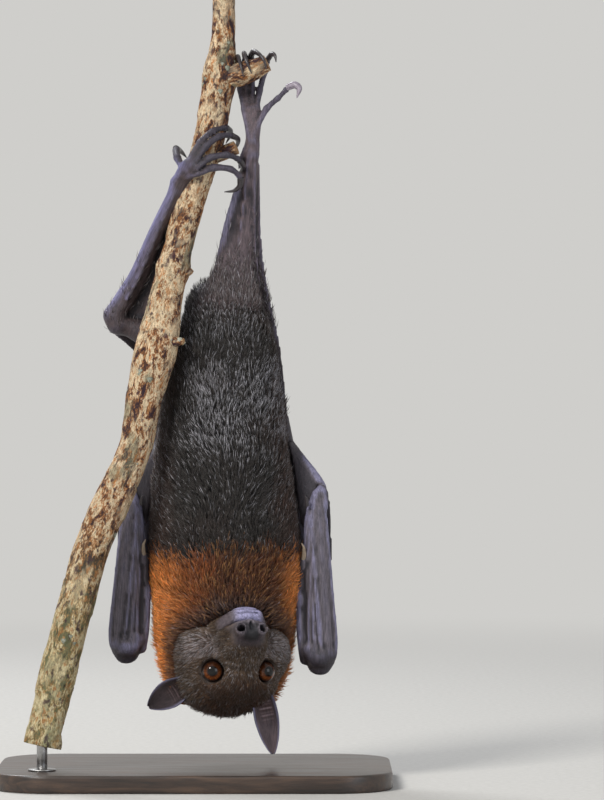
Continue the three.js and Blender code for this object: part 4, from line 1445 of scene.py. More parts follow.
    def add_leg(self, body: Field) -> None:
        """Joins the thigh, shin and foot, with a pad under each toe joint.

        Args:
            body: this side's field.
        """
        leg = LEGS[self.side]
        body.join(Limb(leg.thigh, inset=self.thigh_inset), 3)
        body.join(Limb([leg.thigh[-1], leg.shin[0]], inset=0.6), 3)
        body.join(Limb(leg.shin, inset=0.2), 3)
        body.join(Limb([leg.shin[-1], leg.sole[0]], inset=0.3), 2.5)
        body.join(Limb(leg.sole, inset=0.5), 2.5)
        body.join(Limb(leg.spur), 1.5)
        for tendon in leg.tendons:
            body.join(Limb(tendon), 0.6)
        if leg.apron:
            body.join(Limb(leg.apron), 3)
        body.join(Limb([[x, y - 0.3, z, 1.1] for x, y, z in leg.web_free[:4]]), 0.7)
        ankle = leg.sole[0]
        for number, (toe, claw) in enumerate(zip(leg.toes, leg.claws)):
            tip = [*claw[0][:3], 1.65]
            body.join(Limb([*toe, tip], inset=0.3), 0.7)
            for x, y, z, r in toe[1:]:
                body.join(Egg((x, y, z), (r - 0.02,) * 3), 0.8)
            x, y, z, _ = toe[0]
            ray = [[ankle[0] + 0.7 * (number - 2), ankle[1] - 2.6, ankle[2] + 2, 1.2],
                   [x, y - 2.2, z - 2, 1.5], [*toe[1][:3], 1.5]]
            body.join(Limb(ray), 0.7)

    def field(self) -> Field:
        """Grows this side.

        Returns:
            The field of distances to it.
        """
        kinds = ("forearm", "hand", "thumb", "wing_skin", "hand_skin", "leg_web", "thigh", "shin", "foot")
        low, high = node_box(*(f"{kind}_{self.side.label}" for kind in kinds))
        body = Field(low - np.array(self.room), high + np.array(self.room), self.step)
        self.add_leg(body)
        self.add_wing(body)
        self.add_arm(body)
        return body

    def shell(self, body: Field, markings: Markings) -> Shell:
        """Draws this side's skin and colours it.

        Args:
            body: this side's field.
            markings: the bat's colours.

        Returns:
            The shell.
        """
        points, faces = body.surface()
        points = relax(points, faces, 2)
        shell = Shell(points, faces)
        x, y, z = points.T
        behind = ease(y, 8, 16) * (1 - ease(z, 240, 262))
        arm = [self.on_side(rows) for rows in (self.forearm, self.hand, self.finger_end)]
        off = np.min([Limb(rows).distance(points) for rows in arm], 0)
        inner = ease(off, 0.8, 2.2) * ease(z, 106, 118) * (1 - ease(z, 200, 215))
        thin = np.maximum(behind, inner)
        shell.points = blend(points, relax(points, faces, 9), thin)
        proud = relief(points, faces, shell.normals) * (1 - thin)
        leg_part = LEGS[self.side]
        # painted shade in the creases and painted highlight on the ridges of the hand, from the surface's
        # relief
        hand = blend(markings.slate, markings.dusk * 0.4, ease(-proud, -0.02, 0.08))
        hand = blend(hand, markings.lilac * 1.1, 0.75 * ease(proud, 0.03, 0.2))
        hand = blend(hand, markings.dusk * 0.5, 0.8 * inner)
        # painted shade on the underside of the wrist
        hand = blend(hand, markings.dusk * 0.6, 0.9 * (1 - ease(z, 70, 80)) * ease(-y, -4, 2))
        # the same painted crease shade and ridge highlight on the leg
        leg = blend(markings.hide, markings.dusk * 0.55, ease(-proud, -0.02, 0.12))
        leg = blend(leg, markings.lilac * 0.8, 0.5 * ease(proud, 0.05, 0.3))
        # painted highlight along the web's free edge, and a line of painted shade beside it
        rim = Limb([[*row, 1.1] for row in leg_part.web_free[:4]]).distance(points)
        leg = blend(leg, markings.lilac * 0.95, 0.7 * (1 - ease(rim, 0.4, 1.6)))
        leg = blend(leg, markings.dusk * 0.45, 0.7 * np.exp(-((rim - 2.6) / 0.8) ** 2))
        leg = leg * (1 - 0.35 * ease(z - leg_part.sole[2][2], -4, 4))[:, None]
        if self.side is BodySide.LEFT:
            # painted sky light on the side of the left leg that faces out to the bat's left; the rest of that
            # leg is darker
            edge = ease(-shell.normals[:, 0], 0.15, 0.8) * ease(z, 262, 276) * (1 - ease(z, 350, 358))
            leg = blend(leg * np.array([0.62, 0.6, 0.56]), markings.lilac * np.array([0.95, 0.95, 1.15]),
                        0.8 * edge)
        leg = blend(leg, markings.thin_haired(points),
                    (1 - ease(z, 285, 318)) * ease(-y, -14, -4) * ease(x, -18, -8))
        tone = blend(hand, leg, ease(z, 215, 250))
        tone = blend(tone, markings.dusk * 0.75, 0.85 * behind)
        mottle = 1 + 0.12 * Grain(6, 7, 3).at(points)
        thigh = Limb(leg_part.thigh[:3], inset=self.thigh_inset).distance(points)
        furred = (1 - ease(thigh, 0.6, 1.8)) * (1 - ease(z, 256, 274)) * ease(x, -46, -38)
        shell.colour = blend(tone * mottle[:, None], markings.trunk(points) * 0.7, furred)
        shell.bare = 1 - furred
        along = unit(np.array(leg_part.shin[-1][:3], float) - np.array(leg_part.shin[0][:3], float))
        across = unit(np.cross(along, np.array([0.0, 1.0, 0.0])))
        turned = points @ np.array([across, np.cross(along, across), along]).T
        shell.place = blend(points, turned, ease(z, 225, 255))
        return shell


# ---- coat ------------------------------------------------------------------------------------------


@dataclass
class Tufts:
    """Tufts of hair, one row for each: root, outward way, way it lies, sizes and colours."""

    roots: np.ndarray
    normals: np.ndarray
    lie: np.ndarray
    length: np.ndarray
    width: np.ndarray
    rise: np.ndarray
    root_tone: np.ndarray
    tip_tone: np.ndarray
    sharp: np.ndarray = field(default_factory=lambda: np.zeros(0))
    pull: np.ndarray = field(default_factory=lambda: np.zeros((0, 3)))

    def __post_init__(self) -> None:
        """Starts with no pull towards a neighbour's tip, and with an even change of colour."""
        if not len(self.pull):
            self.pull = np.zeros_like(self.roots)
        if not len(self.sharp):
            self.sharp = np.full(len(self.roots), 0.9)

    def __len__(self) -> int:
        """How many tufts there are."""
        return len(self.roots)

    def chosen(self, which: np.ndarray) -> "Tufts":
        """Some of the tufts, by a mask or by numbers."""
        return Tufts(*(getattr(self, name)[which] for name in self.__dataclass_fields__))

    @staticmethod
    def joined(batches: Sequence["Tufts"]) -> "Tufts":
        """Several batches as one."""
        return Tufts(*(np.concatenate([getattr(b, name) for b in batches])
                       for name in Tufts.__dataclass_fields__))

    def middle(self, share: float) -> np.ndarray:
        """Finds where each tuft's middle line is.

        Args:
            share: how much of the way from root to tip.

        Returns:
            The places.
        """
        height = self.rise * (1.7 * share - 0.7 * share * share) - 0.35 * (share == 0)
        return (self.roots + self.lie * (self.length * share)[:, None] + self.normals * height[:, None]
                + self.pull * share ** 1.6)

    def gather(self, generator: np.random.Generator, apart: float, share: float) -> None:
        """Draws the tips of neighbours together into locks.

        Args:
            generator: where chance comes from.
            apart: about how far it is from one lock to the next.
            share: how much of the way tips move.
        """
        count = max(8, int(len(self) / (apart * apart * self.crowding())))
        leaders = generator.choice(len(self), min(count, len(self)), replace=False)
        tree = mathutils.kdtree.KDTree(len(leaders))
        for number, leader in enumerate(leaders):
            tree.insert(self.roots[leader], number)
        tree.balance()
        nearest = leaders[[tree.find(root)[1] for root in self.roots]]
        tips = self.middle(1.0)
        towards = tips[nearest] - tips
        reach = np.linalg.norm(towards, axis=1, keepdims=True)
        towards *= np.minimum(1, apart * 1.3 / np.maximum(reach, 1e-6))
        self.pull = towards * (share * generator.uniform(0.6, 1.15, len(self)))[:, None]

    def crowding(self) -> float:
        """Reckons how close the tufts stand.

        Returns:
            About how many tufts there are to a square millimetre.
        """
        low, high = self.roots.min(0), self.roots.max(0)
        size = np.maximum(high - low, 1)
        return len(self) / (2 * (size[0] * size[1] + size[1] * size[2] + size[0] * size[2]) * 0.75)

    def mesh(self, rings: Rings) -> tuple[np.ndarray, list[np.ndarray], np.ndarray, np.ndarray]:
        """Draws the tufts as closed, tapered, three-sided solids.

        Args:
            rings: for each ring its share of the way to the tip, and its share of the width.

        Returns:
            The points, the faces, the colour of each point, and its place in its own tuft: across, along and
            a number of the tuft's own.
        """
        side = np.cross(self.lie, self.normals)
        points, places, shares = [], [], []
        own = np.arange(len(self)) * 0.61803 % 1
        for share, size in rings:
            centre = self.middle(share)
            half = (self.width * size * 0.5)[:, None]
            for across, lift in ((-1, -0.35), (0, 0.75), (1, -0.35)):
                points.append(centre + side * half * across + self.normals * half * lift)
                place = [np.full(len(self), across * 0.5), np.full(len(self), share), own]
                places.append(np.stack(place, -1))
                shares.append(share)
        points.append(self.middle(1.0))
        places.append(np.stack([np.zeros(len(self)), np.ones(len(self)), own], -1))
        shares.append(1.0)
        corners = len(points)
        first = np.arange(len(self))[:, None] * corners
        quads, triangles = [], [[2, 1, 0]]
        for ring in range(len(rings) - 1):
            for k in range(3):
                n = (k + 1) % 3
                quads.append([3 * ring + k, 3 * ring + n, 3 * ring + 3 + n, 3 * ring + 3 + k])
        last = 3 * (len(rings) - 1)
        triangles += [[last + k, last + (k + 1) % 3, corners - 1] for k in range(3)]
        faces = [(first[:, None] + np.array(shape)[None]).reshape(-1, len(shape[0]))
                 for shape in (quads, triangles)]
        along = (np.array(shares)[None, :] ** self.sharp[:, None])[..., None]
        tone = self.root_tone[:, None] * (1 - along) + self.tip_tone[:, None] * along
        return (np.stack(points, 1).reshape(-1, 3), faces, tone.reshape(-1, 3),
                np.stack(places, 1).reshape(-1, 3))


def sow(shell: Shell, density: np.ndarray, generator: np.random.Generator) -> tuple[np.ndarray, ...]:
    """Scatters roots over a surface.

    Args:
        shell: the surface.
        density: roots to a square millimetre at each of its points.
        generator: where chance comes from.

    Returns:
        The roots, the outward directions there, and how bare the skin is there.
    """
    corners = shell.points[shell.faces]
    area = np.linalg.norm(np.cross(corners[:, 2] - corners[:, 0], corners[:, 3] - corners[:, 1]), axis=1) / 2
    wanted = area * density[shell.faces].mean(1)
    count = generator.poisson(wanted)
    face = np.repeat(np.arange(len(wanted)), count)
    u, v = generator.random((2, len(face), 1))
    weights = np.concatenate([(1 - u) * (1 - v), u * (1 - v), u * v, (1 - u) * v], 1)
    chosen = shell.faces[face]
    roots = (shell.points[chosen] * weights[..., None]).sum(1)
    normals = unit((shell.normals[chosen] * weights[..., None]).sum(1))
    return roots, normals, (shell.bare[chosen] * weights).sum(1)


def lay(direction: np.ndarray, normals: np.ndarray) -> np.ndarray:
    """Directions pressed flat onto the surface."""
    return unit(direction - normals * (direction * normals).sum(1, keepdims=True))


def swing(lie: np.ndarray, normals: np.ndarray, angle: np.ndarray) -> np.ndarray:
    """Directions turned in the surface by an angle in radians."""
    return lie * np.cos(angle)[:, None] + np.cross(normals, lie) * np.sin(angle)[:, None]


@dataclass
class Coat:
    """The whole coat: long and soft on the trunk, longest in the collar, short on the head."""

    markings: Markings
    place: HeadPlace
    trunk_density: float = 2.0
    back_share: float = 0.55
    gold: np.ndarray = paint(240, 176, 104)
    head_density: float = 4.6
    seed: int = 41
    patch: float = 0.003
    lowest_tip: float = 44.5
    limit: int = 196000
    generator: np.random.Generator = field(init=False)
    count: int = 0

    def __post_init__(self) -> None:
        """Seeds the chance."""
        self.generator = np.random.default_rng(self.seed)

    def vary(self, tone: np.ndarray, share: float) -> np.ndarray:
        """Colours made a little lighter or darker, each on its own."""
        return tone * np.exp(self.generator.normal(0, share, len(tone)))[:, None]

    def trunk(self, shell: Shell, trunk: Trunk, head_body: Field) -> Tufts:
        """Lays the trunk's coat.

        Args:
            shell: the trunk's skin.
            trunk: its sizes.
            head_body: the head, whose colour the coat takes on close to it.

        Returns:
            The tufts.
        """
        generator, markings = self.generator, self.markings
        behind = ease(shell.points[:, 1] - trunk.middle(shell.points[:, 2]), 2, 16)
        density = self.trunk_density * (1 - (1 - self.back_share) * behind)
        roots, normals, _ = sow(shell, density, generator)
        x, y, z = roots.T
        collar = (generator.random(len(x)) < markings.collar(roots)).astype(float)
        lie = self.trunk_lie(roots, normals, collar)
        hip = ease(z, 240, 276)
        bald = trunk.bald(roots)
        size = np.clip(generator.normal(1, 0.2, len(x)), 0.55, 1.5)
        length = (7.5 + 1.6 * collar - 3.0 * hip) * (1 - 0.45 * bald) * size
        depth = trunk.depth(z) - trunk.thinning * hip
        lift = 0.6 + 0.25 * Grain(6, 71).at(roots) + generator.normal(0, 0.17, len(x))
        rise = depth * np.clip(lift, 0.15, 1.1)
        length = np.sqrt(np.maximum(length ** 2 - rise ** 2, 5))
        width = 0.47 * np.clip(generator.normal(1, 0.22, len(x)), 0.5, 1.7)
        width = width * (1 + 0.4 * ease(y - trunk.middle(z), 2, 16))
        wisp = ease(z, 262, 276) * (1 - ease(x, -14, -4))
        rise, width = rise + 1.4 * wisp, width * (1 - 0.25 * wisp)
        thin = np.maximum(bald, wisp)
        tip, root_tone, pale, silver = self.trunk_tones(roots, collar, thin, wisp, head_body)
        width = np.where(silver, width * 0.8, width)
        sharp = np.where(pale, 2.5, 1.0)
        tufts = Tufts(roots, normals, lie, length, width, rise, root_tone, tip, sharp)
        return tufts.chosen((tufts.middle(1.0)[:, 2] > self.lowest_tip) & (generator.random(len(x)) > bald))

    def trunk_lie(self, roots: np.ndarray, normals: np.ndarray, collar: np.ndarray) -> np.ndarray:
        """Finds the way the trunk's coat lies: towards the tail, and fanned out round the head.

        Args:
            roots: the tufts' roots.
            normals: the outward directions there.
            collar: one for a tuft of the collar, and zero for another.

        Returns:
            The directions.
        """
        x, head = roots[:, 0], np.array(self.place.at)
        tailward = np.stack([x * 0.011, np.zeros(len(x)), np.ones(len(x))], -1)
        away = (roots - (head + np.array([0, 14, 6]))) * np.array([1, 0.5, 0.8])
        fan = unit(away) * 0.85 + np.array([0, 0.05, 0.32])
        near = 1 - ease(np.linalg.norm(roots - head, axis=1), 62, 100)
        sweep = 0.5 * Grain(24, 61).at(roots) + 0.6 * Grain(7, 62).at(roots)
        sweep = sweep + self.generator.normal(0, 0.24 + 0.08 * collar, len(x))
        return swing(lay(blend(tailward, fan, near), normals), normals, sweep)

    def trunk_tones(self, roots: np.ndarray, collar: np.ndarray, thin: np.ndarray, wisp: np.ndarray,
                    head_body: Field) -> tuple[np.ndarray, np.ndarray, np.ndarray, np.ndarray]:
        """Colours the trunk's coat: near black or russet, with silver and golden tips among the others.

        Args:
            roots: the tufts' roots.
            collar: one for a tuft of the collar, and zero for another.
            thin: how much the coat thins out at each of them.
            wisp: how wispy it is at each of them.
            head_body: the head, whose colour the coat takes on close to it.

        Returns:
            The tips' colours, the roots' colours, which tips are silver or golden, and which are silver.
        """
        generator, markings = self.generator, self.markings
        y = roots[:, 1]
        base = markings.trunk(roots, collar)
        off_face = head_body.sample(roots) + 2 * Grain(7, 83).at(roots)
        by_face = 0.85 * (1 - ease(off_face, 1.5, 10)) * ease(-y, -4, 8)
        base = blend(base, markings.umber * 0.85, by_face)
        base = blend(base, markings.thin_haired(roots), 0.6 * thin)
        tip = self.vary(base * (1.05 + 0.7 * collar)[:, None], 0.34)
        tip = blend(tip, markings.silver * 0.5, 0.5 * wisp * generator.random(len(y)))
        # silver tips: partly grizzled hair, partly painted glints of light on the coat
        silver = generator.random(len(y)) < markings.silvering(roots)
        shine = generator.uniform(0.35, 1.0, len(y))
        tip = np.where(silver[:, None], blend(tip, markings.silver, shine), tip)
        gold = (generator.random(len(y)) < 0.2) & (collar > 0.5)
        tip = np.where(gold[:, None], blend(tip, self.gold, shine * 0.8), tip)
        return tip, self.vary(base * (0.4 + 0.22 * collar)[:, None], 0.15), silver | gold, silver

    def limbs(self, shell: Shell) -> Tufts:
        """Lays the short coat on the thighs, thinning out towards the knees.

        Args:
            shell: the skin of one side.

        Returns:
            The tufts.
        """
        generator, markings = self.generator, self.markings
        roots, normals, bare = sow(shell, 1.9 * np.clip(1 - shell.bare, 0, 1) ** 1.2, generator)
        keep = generator.random(len(roots)) < 1.05 - bare
        roots, normals, bare = roots[keep], normals[keep], bare[keep]
        lie = lay(np.stack([roots[:, 0] * 0.01, np.full(len(roots), 0.1), np.ones(len(roots))], -1), normals)
        lie = swing(lie, normals, 0.6 * Grain(12, 63).at(roots) + generator.normal(0, 0.18, len(roots)))
        size = np.clip(generator.normal(1, 0.2, len(roots)), 0.5, 1.5)
        base = markings.trunk(roots)
        tip = self.vary(base * 1.3, 0.25)
        silver = generator.random(len(roots)) < 0.28
        tip = np.where(silver[:, None], markings.silver * 0.6, tip)
        length, rise = 6.2 * size * (1 - 0.45 * bare), 1.7 * size * (1 - 0.5 * bare)
        return Tufts(roots, normals, lie, length, 0.42 * size, rise, self.vary(base * 0.55, 0.15), tip)

    def head(self, shell: Shell, head: Head) -> Tufts:
        """Lays the head's short fur, shortest on the face and gone on nose, lips, chin and lids.

        Args:
            shell: the head's skin.
            head: its sizes.

        Returns:
            The tufts.
        """
        generator, markings = self.generator, self.markings
        local = self.place.inward(shell.points)
        face = ease(local[:, 1], -18, 2)
        density = self.head_density * (0.62 + 0.55 * face) * np.clip(1 - shell.bare * 1.25, 0, 1)
        density = density * (1 - 0.5 * ease(-local[:, 1], 22, 36))
        roots, normals, bare = sow(shell, density, generator)
        local = self.place.inward(roots)
        x, y, z = local.T
        back = ease(-y, 4, 30)
        way = np.stack([0.02 * x, -np.ones(len(x)), 0.012 * z], -1) @ self.place.axes
        for side in BodySide:
            off = roots - head.eye_centre(side)
            reach = np.linalg.norm(off, axis=1)
            way = way + unit(off) * (0.9 * (1 - ease(reach, 8, 13)))[:, None]
        lie = lay(way, normals)
        lie = swing(lie, normals, 0.35 * Grain(9, 64).at(roots) + 0.25 * Grain(3, 65).at(roots)
                    + generator.normal(0, 0.16, len(x)))
        size = np.clip(generator.normal(1, 0.2, len(x)), 0.5, 1.6)
        near = np.min([np.linalg.norm(roots - head.eye_centre(side), axis=1) for side in BodySide], 0)
        short = 0.55 + 0.45 * ease(near, 7.6, 13)
        short = short * (1 - 0.5 * ease(y, 6, 24))
        ruff = ease(-z, 0, 12) * ease(-y, -8, 4)
        length = (3.3 + 3.4 * back + 2.6 * ruff) * size * short
        lift = np.clip(0.8 + 0.35 * Grain(5, 72).at(roots), 0.4, 1.2)
        rise = (1.15 + 1.5 * back + 2.4 * ruff) * size * short * lift
        width = (0.30 + 0.16 * back) * size * (0.75 + 0.25 * short)
        base = markings.head(local)
        base = base * np.clip(1 + 0.35 * Grain(3.5, 81).at(roots), 0.6, 1.5)[:, None]
        tip = self.vary(base * 1.6, 0.42)
        silver = generator.random(len(x)) < markings.grizzle(local)
        shine = generator.uniform(0.3, 0.8, len(x))
        tip = np.where(silver[:, None], blend(tip, markings.silver, shine), tip)
        tufts = Tufts(roots, normals, lie, length, width, rise, self.vary(base * 0.6, 0.15), tip)
        return tufts.chosen((near > head.eye_radius + 1.3) & (bare < 0.75))

    def fringe(self, shell: Shell) -> Tufts:
        """Lays a few pale hairs on the knees and shins, more of them where the hips' coat thins out.

        Args:
            shell: the skin of one side.

        Returns:
            The tufts.
        """
        generator, markings = self.generator, self.markings
        z = shell.points[:, 2]
        near = (1 - ease(z, 270, 306)) * ease(shell.points[:, 0], -22, -10)
        sparse = ease(z, 252, 266) * (0.08 * (1 - ease(z, 300, 330)) + 1.5 * near)
        roots, normals, _ = sow(shell, sparse * shell.bare * ease(-shell.normals[:, 1], -0.2, 0.4), generator)
        way = [generator.normal(0, 0.3, len(roots)), np.zeros(len(roots)), np.ones(len(roots))]
        lie = lay(np.stack(way, -1), normals)
        size = generator.uniform(0.6, 1.3, len(roots))
        pale = 0.1 + 0.6 * generator.random(len(roots)) ** 4
        tone = self.vary(blend(markings.umber, markings.silver * 0.7, pale), 0.3)
        return Tufts(roots, normals, lie, 4.6 * size, 0.34 * size, 1.3 * size, tone * 0.45, tone)

    def whiskers(self, body: Field) -> Tufts:
        """Sets short whiskers on both sides of the muzzle and over the eyes.

        Args:
            body: the head's field.

        Returns:
            The whiskers.
        """
        generator = self.generator
        places, ways = [], []
        for side in BodySide:
            s = side.value
            for row in range(3):
                for k in range(5):
                    places.append((s * (9.6 - 0.3 * k), 24 - 3.2 * k, -7.6 - 2.4 * row))
                    ways.append((s * 1.0, -0.35 - 0.05 * k, 0.15 - 0.25 * row))
            for k in range(4):
                places.append((s * (9 + 1.6 * k), 3 - 1.1 * k, 7.2))
                ways.append((s * 0.45, -0.2, 1.0))
        places = np.array(places) + generator.normal(0, 0.4, (len(places), 3))
        ways = unit(np.array(ways, float) + generator.normal(0, 0.1, (len(ways), 3)))
        start = np.array([0, -6.0, -6.0])
        found = []
        for place in places:
            line = self.place.outward(start + (place - start) * np.linspace(0.3, 1.6, 90)[:, None])
            inside = np.flatnonzero(body.sample(line) < 0.1)
            found.append(line[inside[-1] if len(inside) else 45])
        roots = np.array(found)
        lie = ways @ self.place.axes
        normals = unit(np.cross(lie, np.cross(np.array([0.0, 0.3, -1.0]), lie)))
        count = len(roots)
        tone = np.broadcast_to(self.markings.soot * 0.9, roots.shape)
        return Tufts(roots, normals, lie, generator.uniform(6.5, 10, count), np.full(count, 0.2),
                     generator.uniform(0.2, 1.2, count), tone, tone * 1.5)

    def clear(self, tufts: Tufts, fields: Sequence[Field], deep: float = 0.25) -> Tufts:
        """Leaves out tufts rooted in, or running into, other parts of the bat.

        Args:
            tufts: the tufts.
            fields: the other parts.
            deep: how far inside them a tuft may be.

        Returns:
            The tufts that stay.
        """
        keep = np.ones(len(tufts), bool)
        for body in fields:
            for share in (0.0, 0.45, 0.8):
                keep &= body.sample(tufts.middle(share)) > -deep
        return tufts.chosen(keep)

    def unwrap(self, tufts: Tufts, on_head: bool) -> np.ndarray:
        """Each root's place on an unwrap of the skin: round the trunk and along it, or round the head.

        Args:
            tufts: the tufts.
            on_head: whether they grow on the head.

        Returns:
            A place from 0 to 1 each way.
        """
        if on_head:
            local = self.place.inward(tufts.roots) + np.array([0, 16, 4])
            around = np.arctan2(local[:, 0], local[:, 2])
            along = np.arctan2(local[:, 1], np.hypot(local[:, 0], local[:, 2]))
        else:
            around = np.arctan2(tufts.roots[:, 0], tufts.roots[:, 1] - 4)
            along = tufts.roots[:, 2]
        spread = np.stack([around, along], -1)
        low, high = spread.min(0), spread.max(0)
        return 0.005 + 0.99 * (spread - low) / (high - low)

    def finish_piece(self, name: str, tufts: Tufts, rings: Rings, on_head: bool,
                     material: bpy.types.Material) -> bpy.types.Object:
        """Makes one piece of the coat.

        Args:
            name: its name.
            tufts: its tufts.
            rings: the rings of each tuft.
            on_head: whether it grows on the head.
            material: its finish.

        Returns:
            The object.
        """
        most = self.limit // (4 + 6 * (len(rings) - 1))
        if len(tufts) > most:
            tufts = tufts.chosen(np.sort(self.generator.choice(len(tufts), most, replace=False)))
        points, faces, tone, places = tufts.mesh(rings)
        corners = len(points) // len(tufts)
        middle = np.repeat(self.unwrap(tufts, on_head), corners, 0)
        bake_map = middle + self.patch * np.stack([places[:, 0] * 0.9, places[:, 1] - 0.5], -1)
        self.count += len(tufts) * (4 + 6 * (len(rings) - 1))
        layers = {"tone": tone, "hair_place": places}
        return make_object(name, points, faces, material, layers, bake_map)


# ---- finishes --------------------------------------------------------------------------------------


Socket = bpy.types.NodeSocket
Value = Socket | float | Sequence[float]


class Graph:
    """A material, written as sums of nodes."""

    def __init__(self, name: str) -> None:
        """Starts a material with a Principled shader and its output.

        Args:
            name: the material's name.
        """
        self.material = bpy.data.materials.new(name)
        self.material.use_nodes = True
        self.tree = self.material.node_tree
        self.tree.nodes.clear()
        self.shader = self.tree.nodes.new("ShaderNodeBsdfPrincipled")
        self.output = self.tree.nodes.new("ShaderNodeOutputMaterial")
        self.finish(self.shader.outputs[0])

    def finish(self, surface: Socket) -> None:
        """Sets what the material's surface is."""
        self.tree.links.new(surface, self.output.inputs[0])

    def add(self, kind: str, inputs: dict[str | int, Value], **settings: object) -> bpy.types.Node:
        """Adds a node.

        Args:
            kind: the node's type.
            inputs: what goes into its sockets, by name or number.
            settings: its other settings.

        Returns:
            The node.
        """
        node = self.tree.nodes.new(kind)
        for name, value in settings.items():
            setattr(node, name, value)
        for name, value in inputs.items():
            self.feed(node.inputs[name], value)
        return node

    def feed(self, socket: Socket, value: Value) -> None:
        """Puts a link or a plain value into a socket.

        Args:
            socket: what is fed.
            value: another node's socket, a number or a colour.
        """
        if isinstance(value, bpy.types.NodeSocket):
            self.tree.links.new(value, socket)
        elif isinstance(value, (int, float)):
            socket.default_value = value
        else:
            value = [float(v) for v in value]
            socket.default_value = value + [1.0] if socket.type == "RGBA" and len(value) == 3 else value

    def attribute(self, name: str, part: str = "Color") -> Socket:
        """Reads what the points carry under a name."""
        return self.add("ShaderNodeAttribute", {}, attribute_name=name).outputs[part]

    def here(self) -> Socket:
        """The place on the object."""
        return self.add("ShaderNodeTexCoord", {}).outputs["Object"]

    def scaled(self, vector: Socket, scale: Sequence[float]) -> Socket:
        """A place stretched along each axis."""
        return self.add("ShaderNodeMapping", {"Vector": vector, "Scale": scale}).outputs[0]

    def noise(self, vector: Socket, scale: float, detail: float = 4, rough: float = 0.55,
              twist: float = 0.0) -> Socket:
        """Cloudy noise, about a half on average."""
        return self.add("ShaderNodeTexNoise", {"Vector": vector, "Scale": scale, "Detail": detail,
                                               "Roughness": rough, "Distortion": twist}).outputs[0]

    def cells(self, vector: Socket, scale: float) -> Socket:
        """The distance to the edge of an irregular cell."""
        return self.add("ShaderNodeTexVoronoi", {"Vector": vector, "Scale": scale},
                        feature="DISTANCE_TO_EDGE").outputs["Distance"]

    def ramp(self, value: Socket, stops: Sequence[tuple[float, Sequence[float]]]) -> Socket:
        """Lays colours along a value.

        Args:
            value: the value.
            stops: each colour, with the value it stands at before it.

        Returns:
            The colour.
        """
        node = self.add("ShaderNodeValToRGB", {0: value})
        elements = node.color_ramp.elements
        while len(elements) < len(stops):
            elements.new(1.0)
        for element, (at, colour) in zip(elements, stops):
            element.position = at
            element.color = (*[float(c) for c in colour], 1.0)
        return node.outputs[0]

    def grain(self, vector: Socket, scale: Sequence[float], detail: float, rough: float,
              twist: float = 0.0) -> Socket:
        """Cloudy noise with a size of its own along each axis."""
        return self.noise(self.scaled(vector, scale), 1.0, detail, rough, twist)

    def span(self, value: Socket, low: float, high: float, start: float = 0.0, end: float = 1.0) -> Socket:
        """A value moved smoothly from one range to another."""
        inputs = {"Value": value, "From Min": low, "From Max": high, "To Min": start, "To Max": end}
        return self.add("ShaderNodeMapRange", inputs, interpolation_type="SMOOTHSTEP").outputs[0]

    def sum(self, kind: str, first: Value, second: Value = 0.0) -> Socket:
        """Arithmetic on two numbers."""
        return self.add("ShaderNodeMath", {0: first, 1: second}, operation=kind).outputs[0]

    def times(self, first: Value, second: Value) -> Socket:
        """The product of two numbers."""
        return self.sum("MULTIPLY", first, second)

    def plus(self, first: Value, second: Value) -> Socket:
        """The sum of two numbers."""
        return self.sum("ADD", first, second)

    def reach(self, x: Socket, y: Socket) -> Socket:
        """How far a place is from the middle, from how far it is each way."""
        return self.sum("SQRT", self.plus(self.times(x, x), self.times(y, y)))

    def mix(self, share: Value, first: Value, second: Value, kind: str = "MIX") -> Socket:
        """Mixes two colours.

        Args:
            share: how much of the second one there is.
            first: a colour.
            second: another one.
            kind: the way they are mixed.

        Returns:
            The colour.
        """
        node = self.add("ShaderNodeMix", {}, data_type="RGBA", blend_type=kind)
        for number, value in ((0, share), (6, first), (7, second)):
            self.feed(node.inputs[number], value)
        return node.outputs[2]

    def tinted(self, colour: Socket, value: Socket) -> Socket:
        """A colour made lighter or darker by a number."""
        grey = self.add("ShaderNodeCombineColor", {0: value, 1: value, 2: value}).outputs[0]
        return self.mix(1.0, colour, grey, "MULTIPLY")

    def bump(self, height: Socket, strength: float, distance: float) -> Socket:
        """A bumped surface direction."""
        inputs = {"Height": height, "Strength": strength, "Distance": distance}
        return self.add("ShaderNodeBump", inputs).outputs[0]

    def shade(self, **inputs: Value) -> bpy.types.Material:
        """Feeds the shader, with low lines in the names for spaces.

        Args:
            inputs: what goes into its sockets.

        Returns:
            The material.
        """
        for name, value in inputs.items():
            self.feed(self.shader.inputs[name.replace("_", " ")], value)
        return self.material


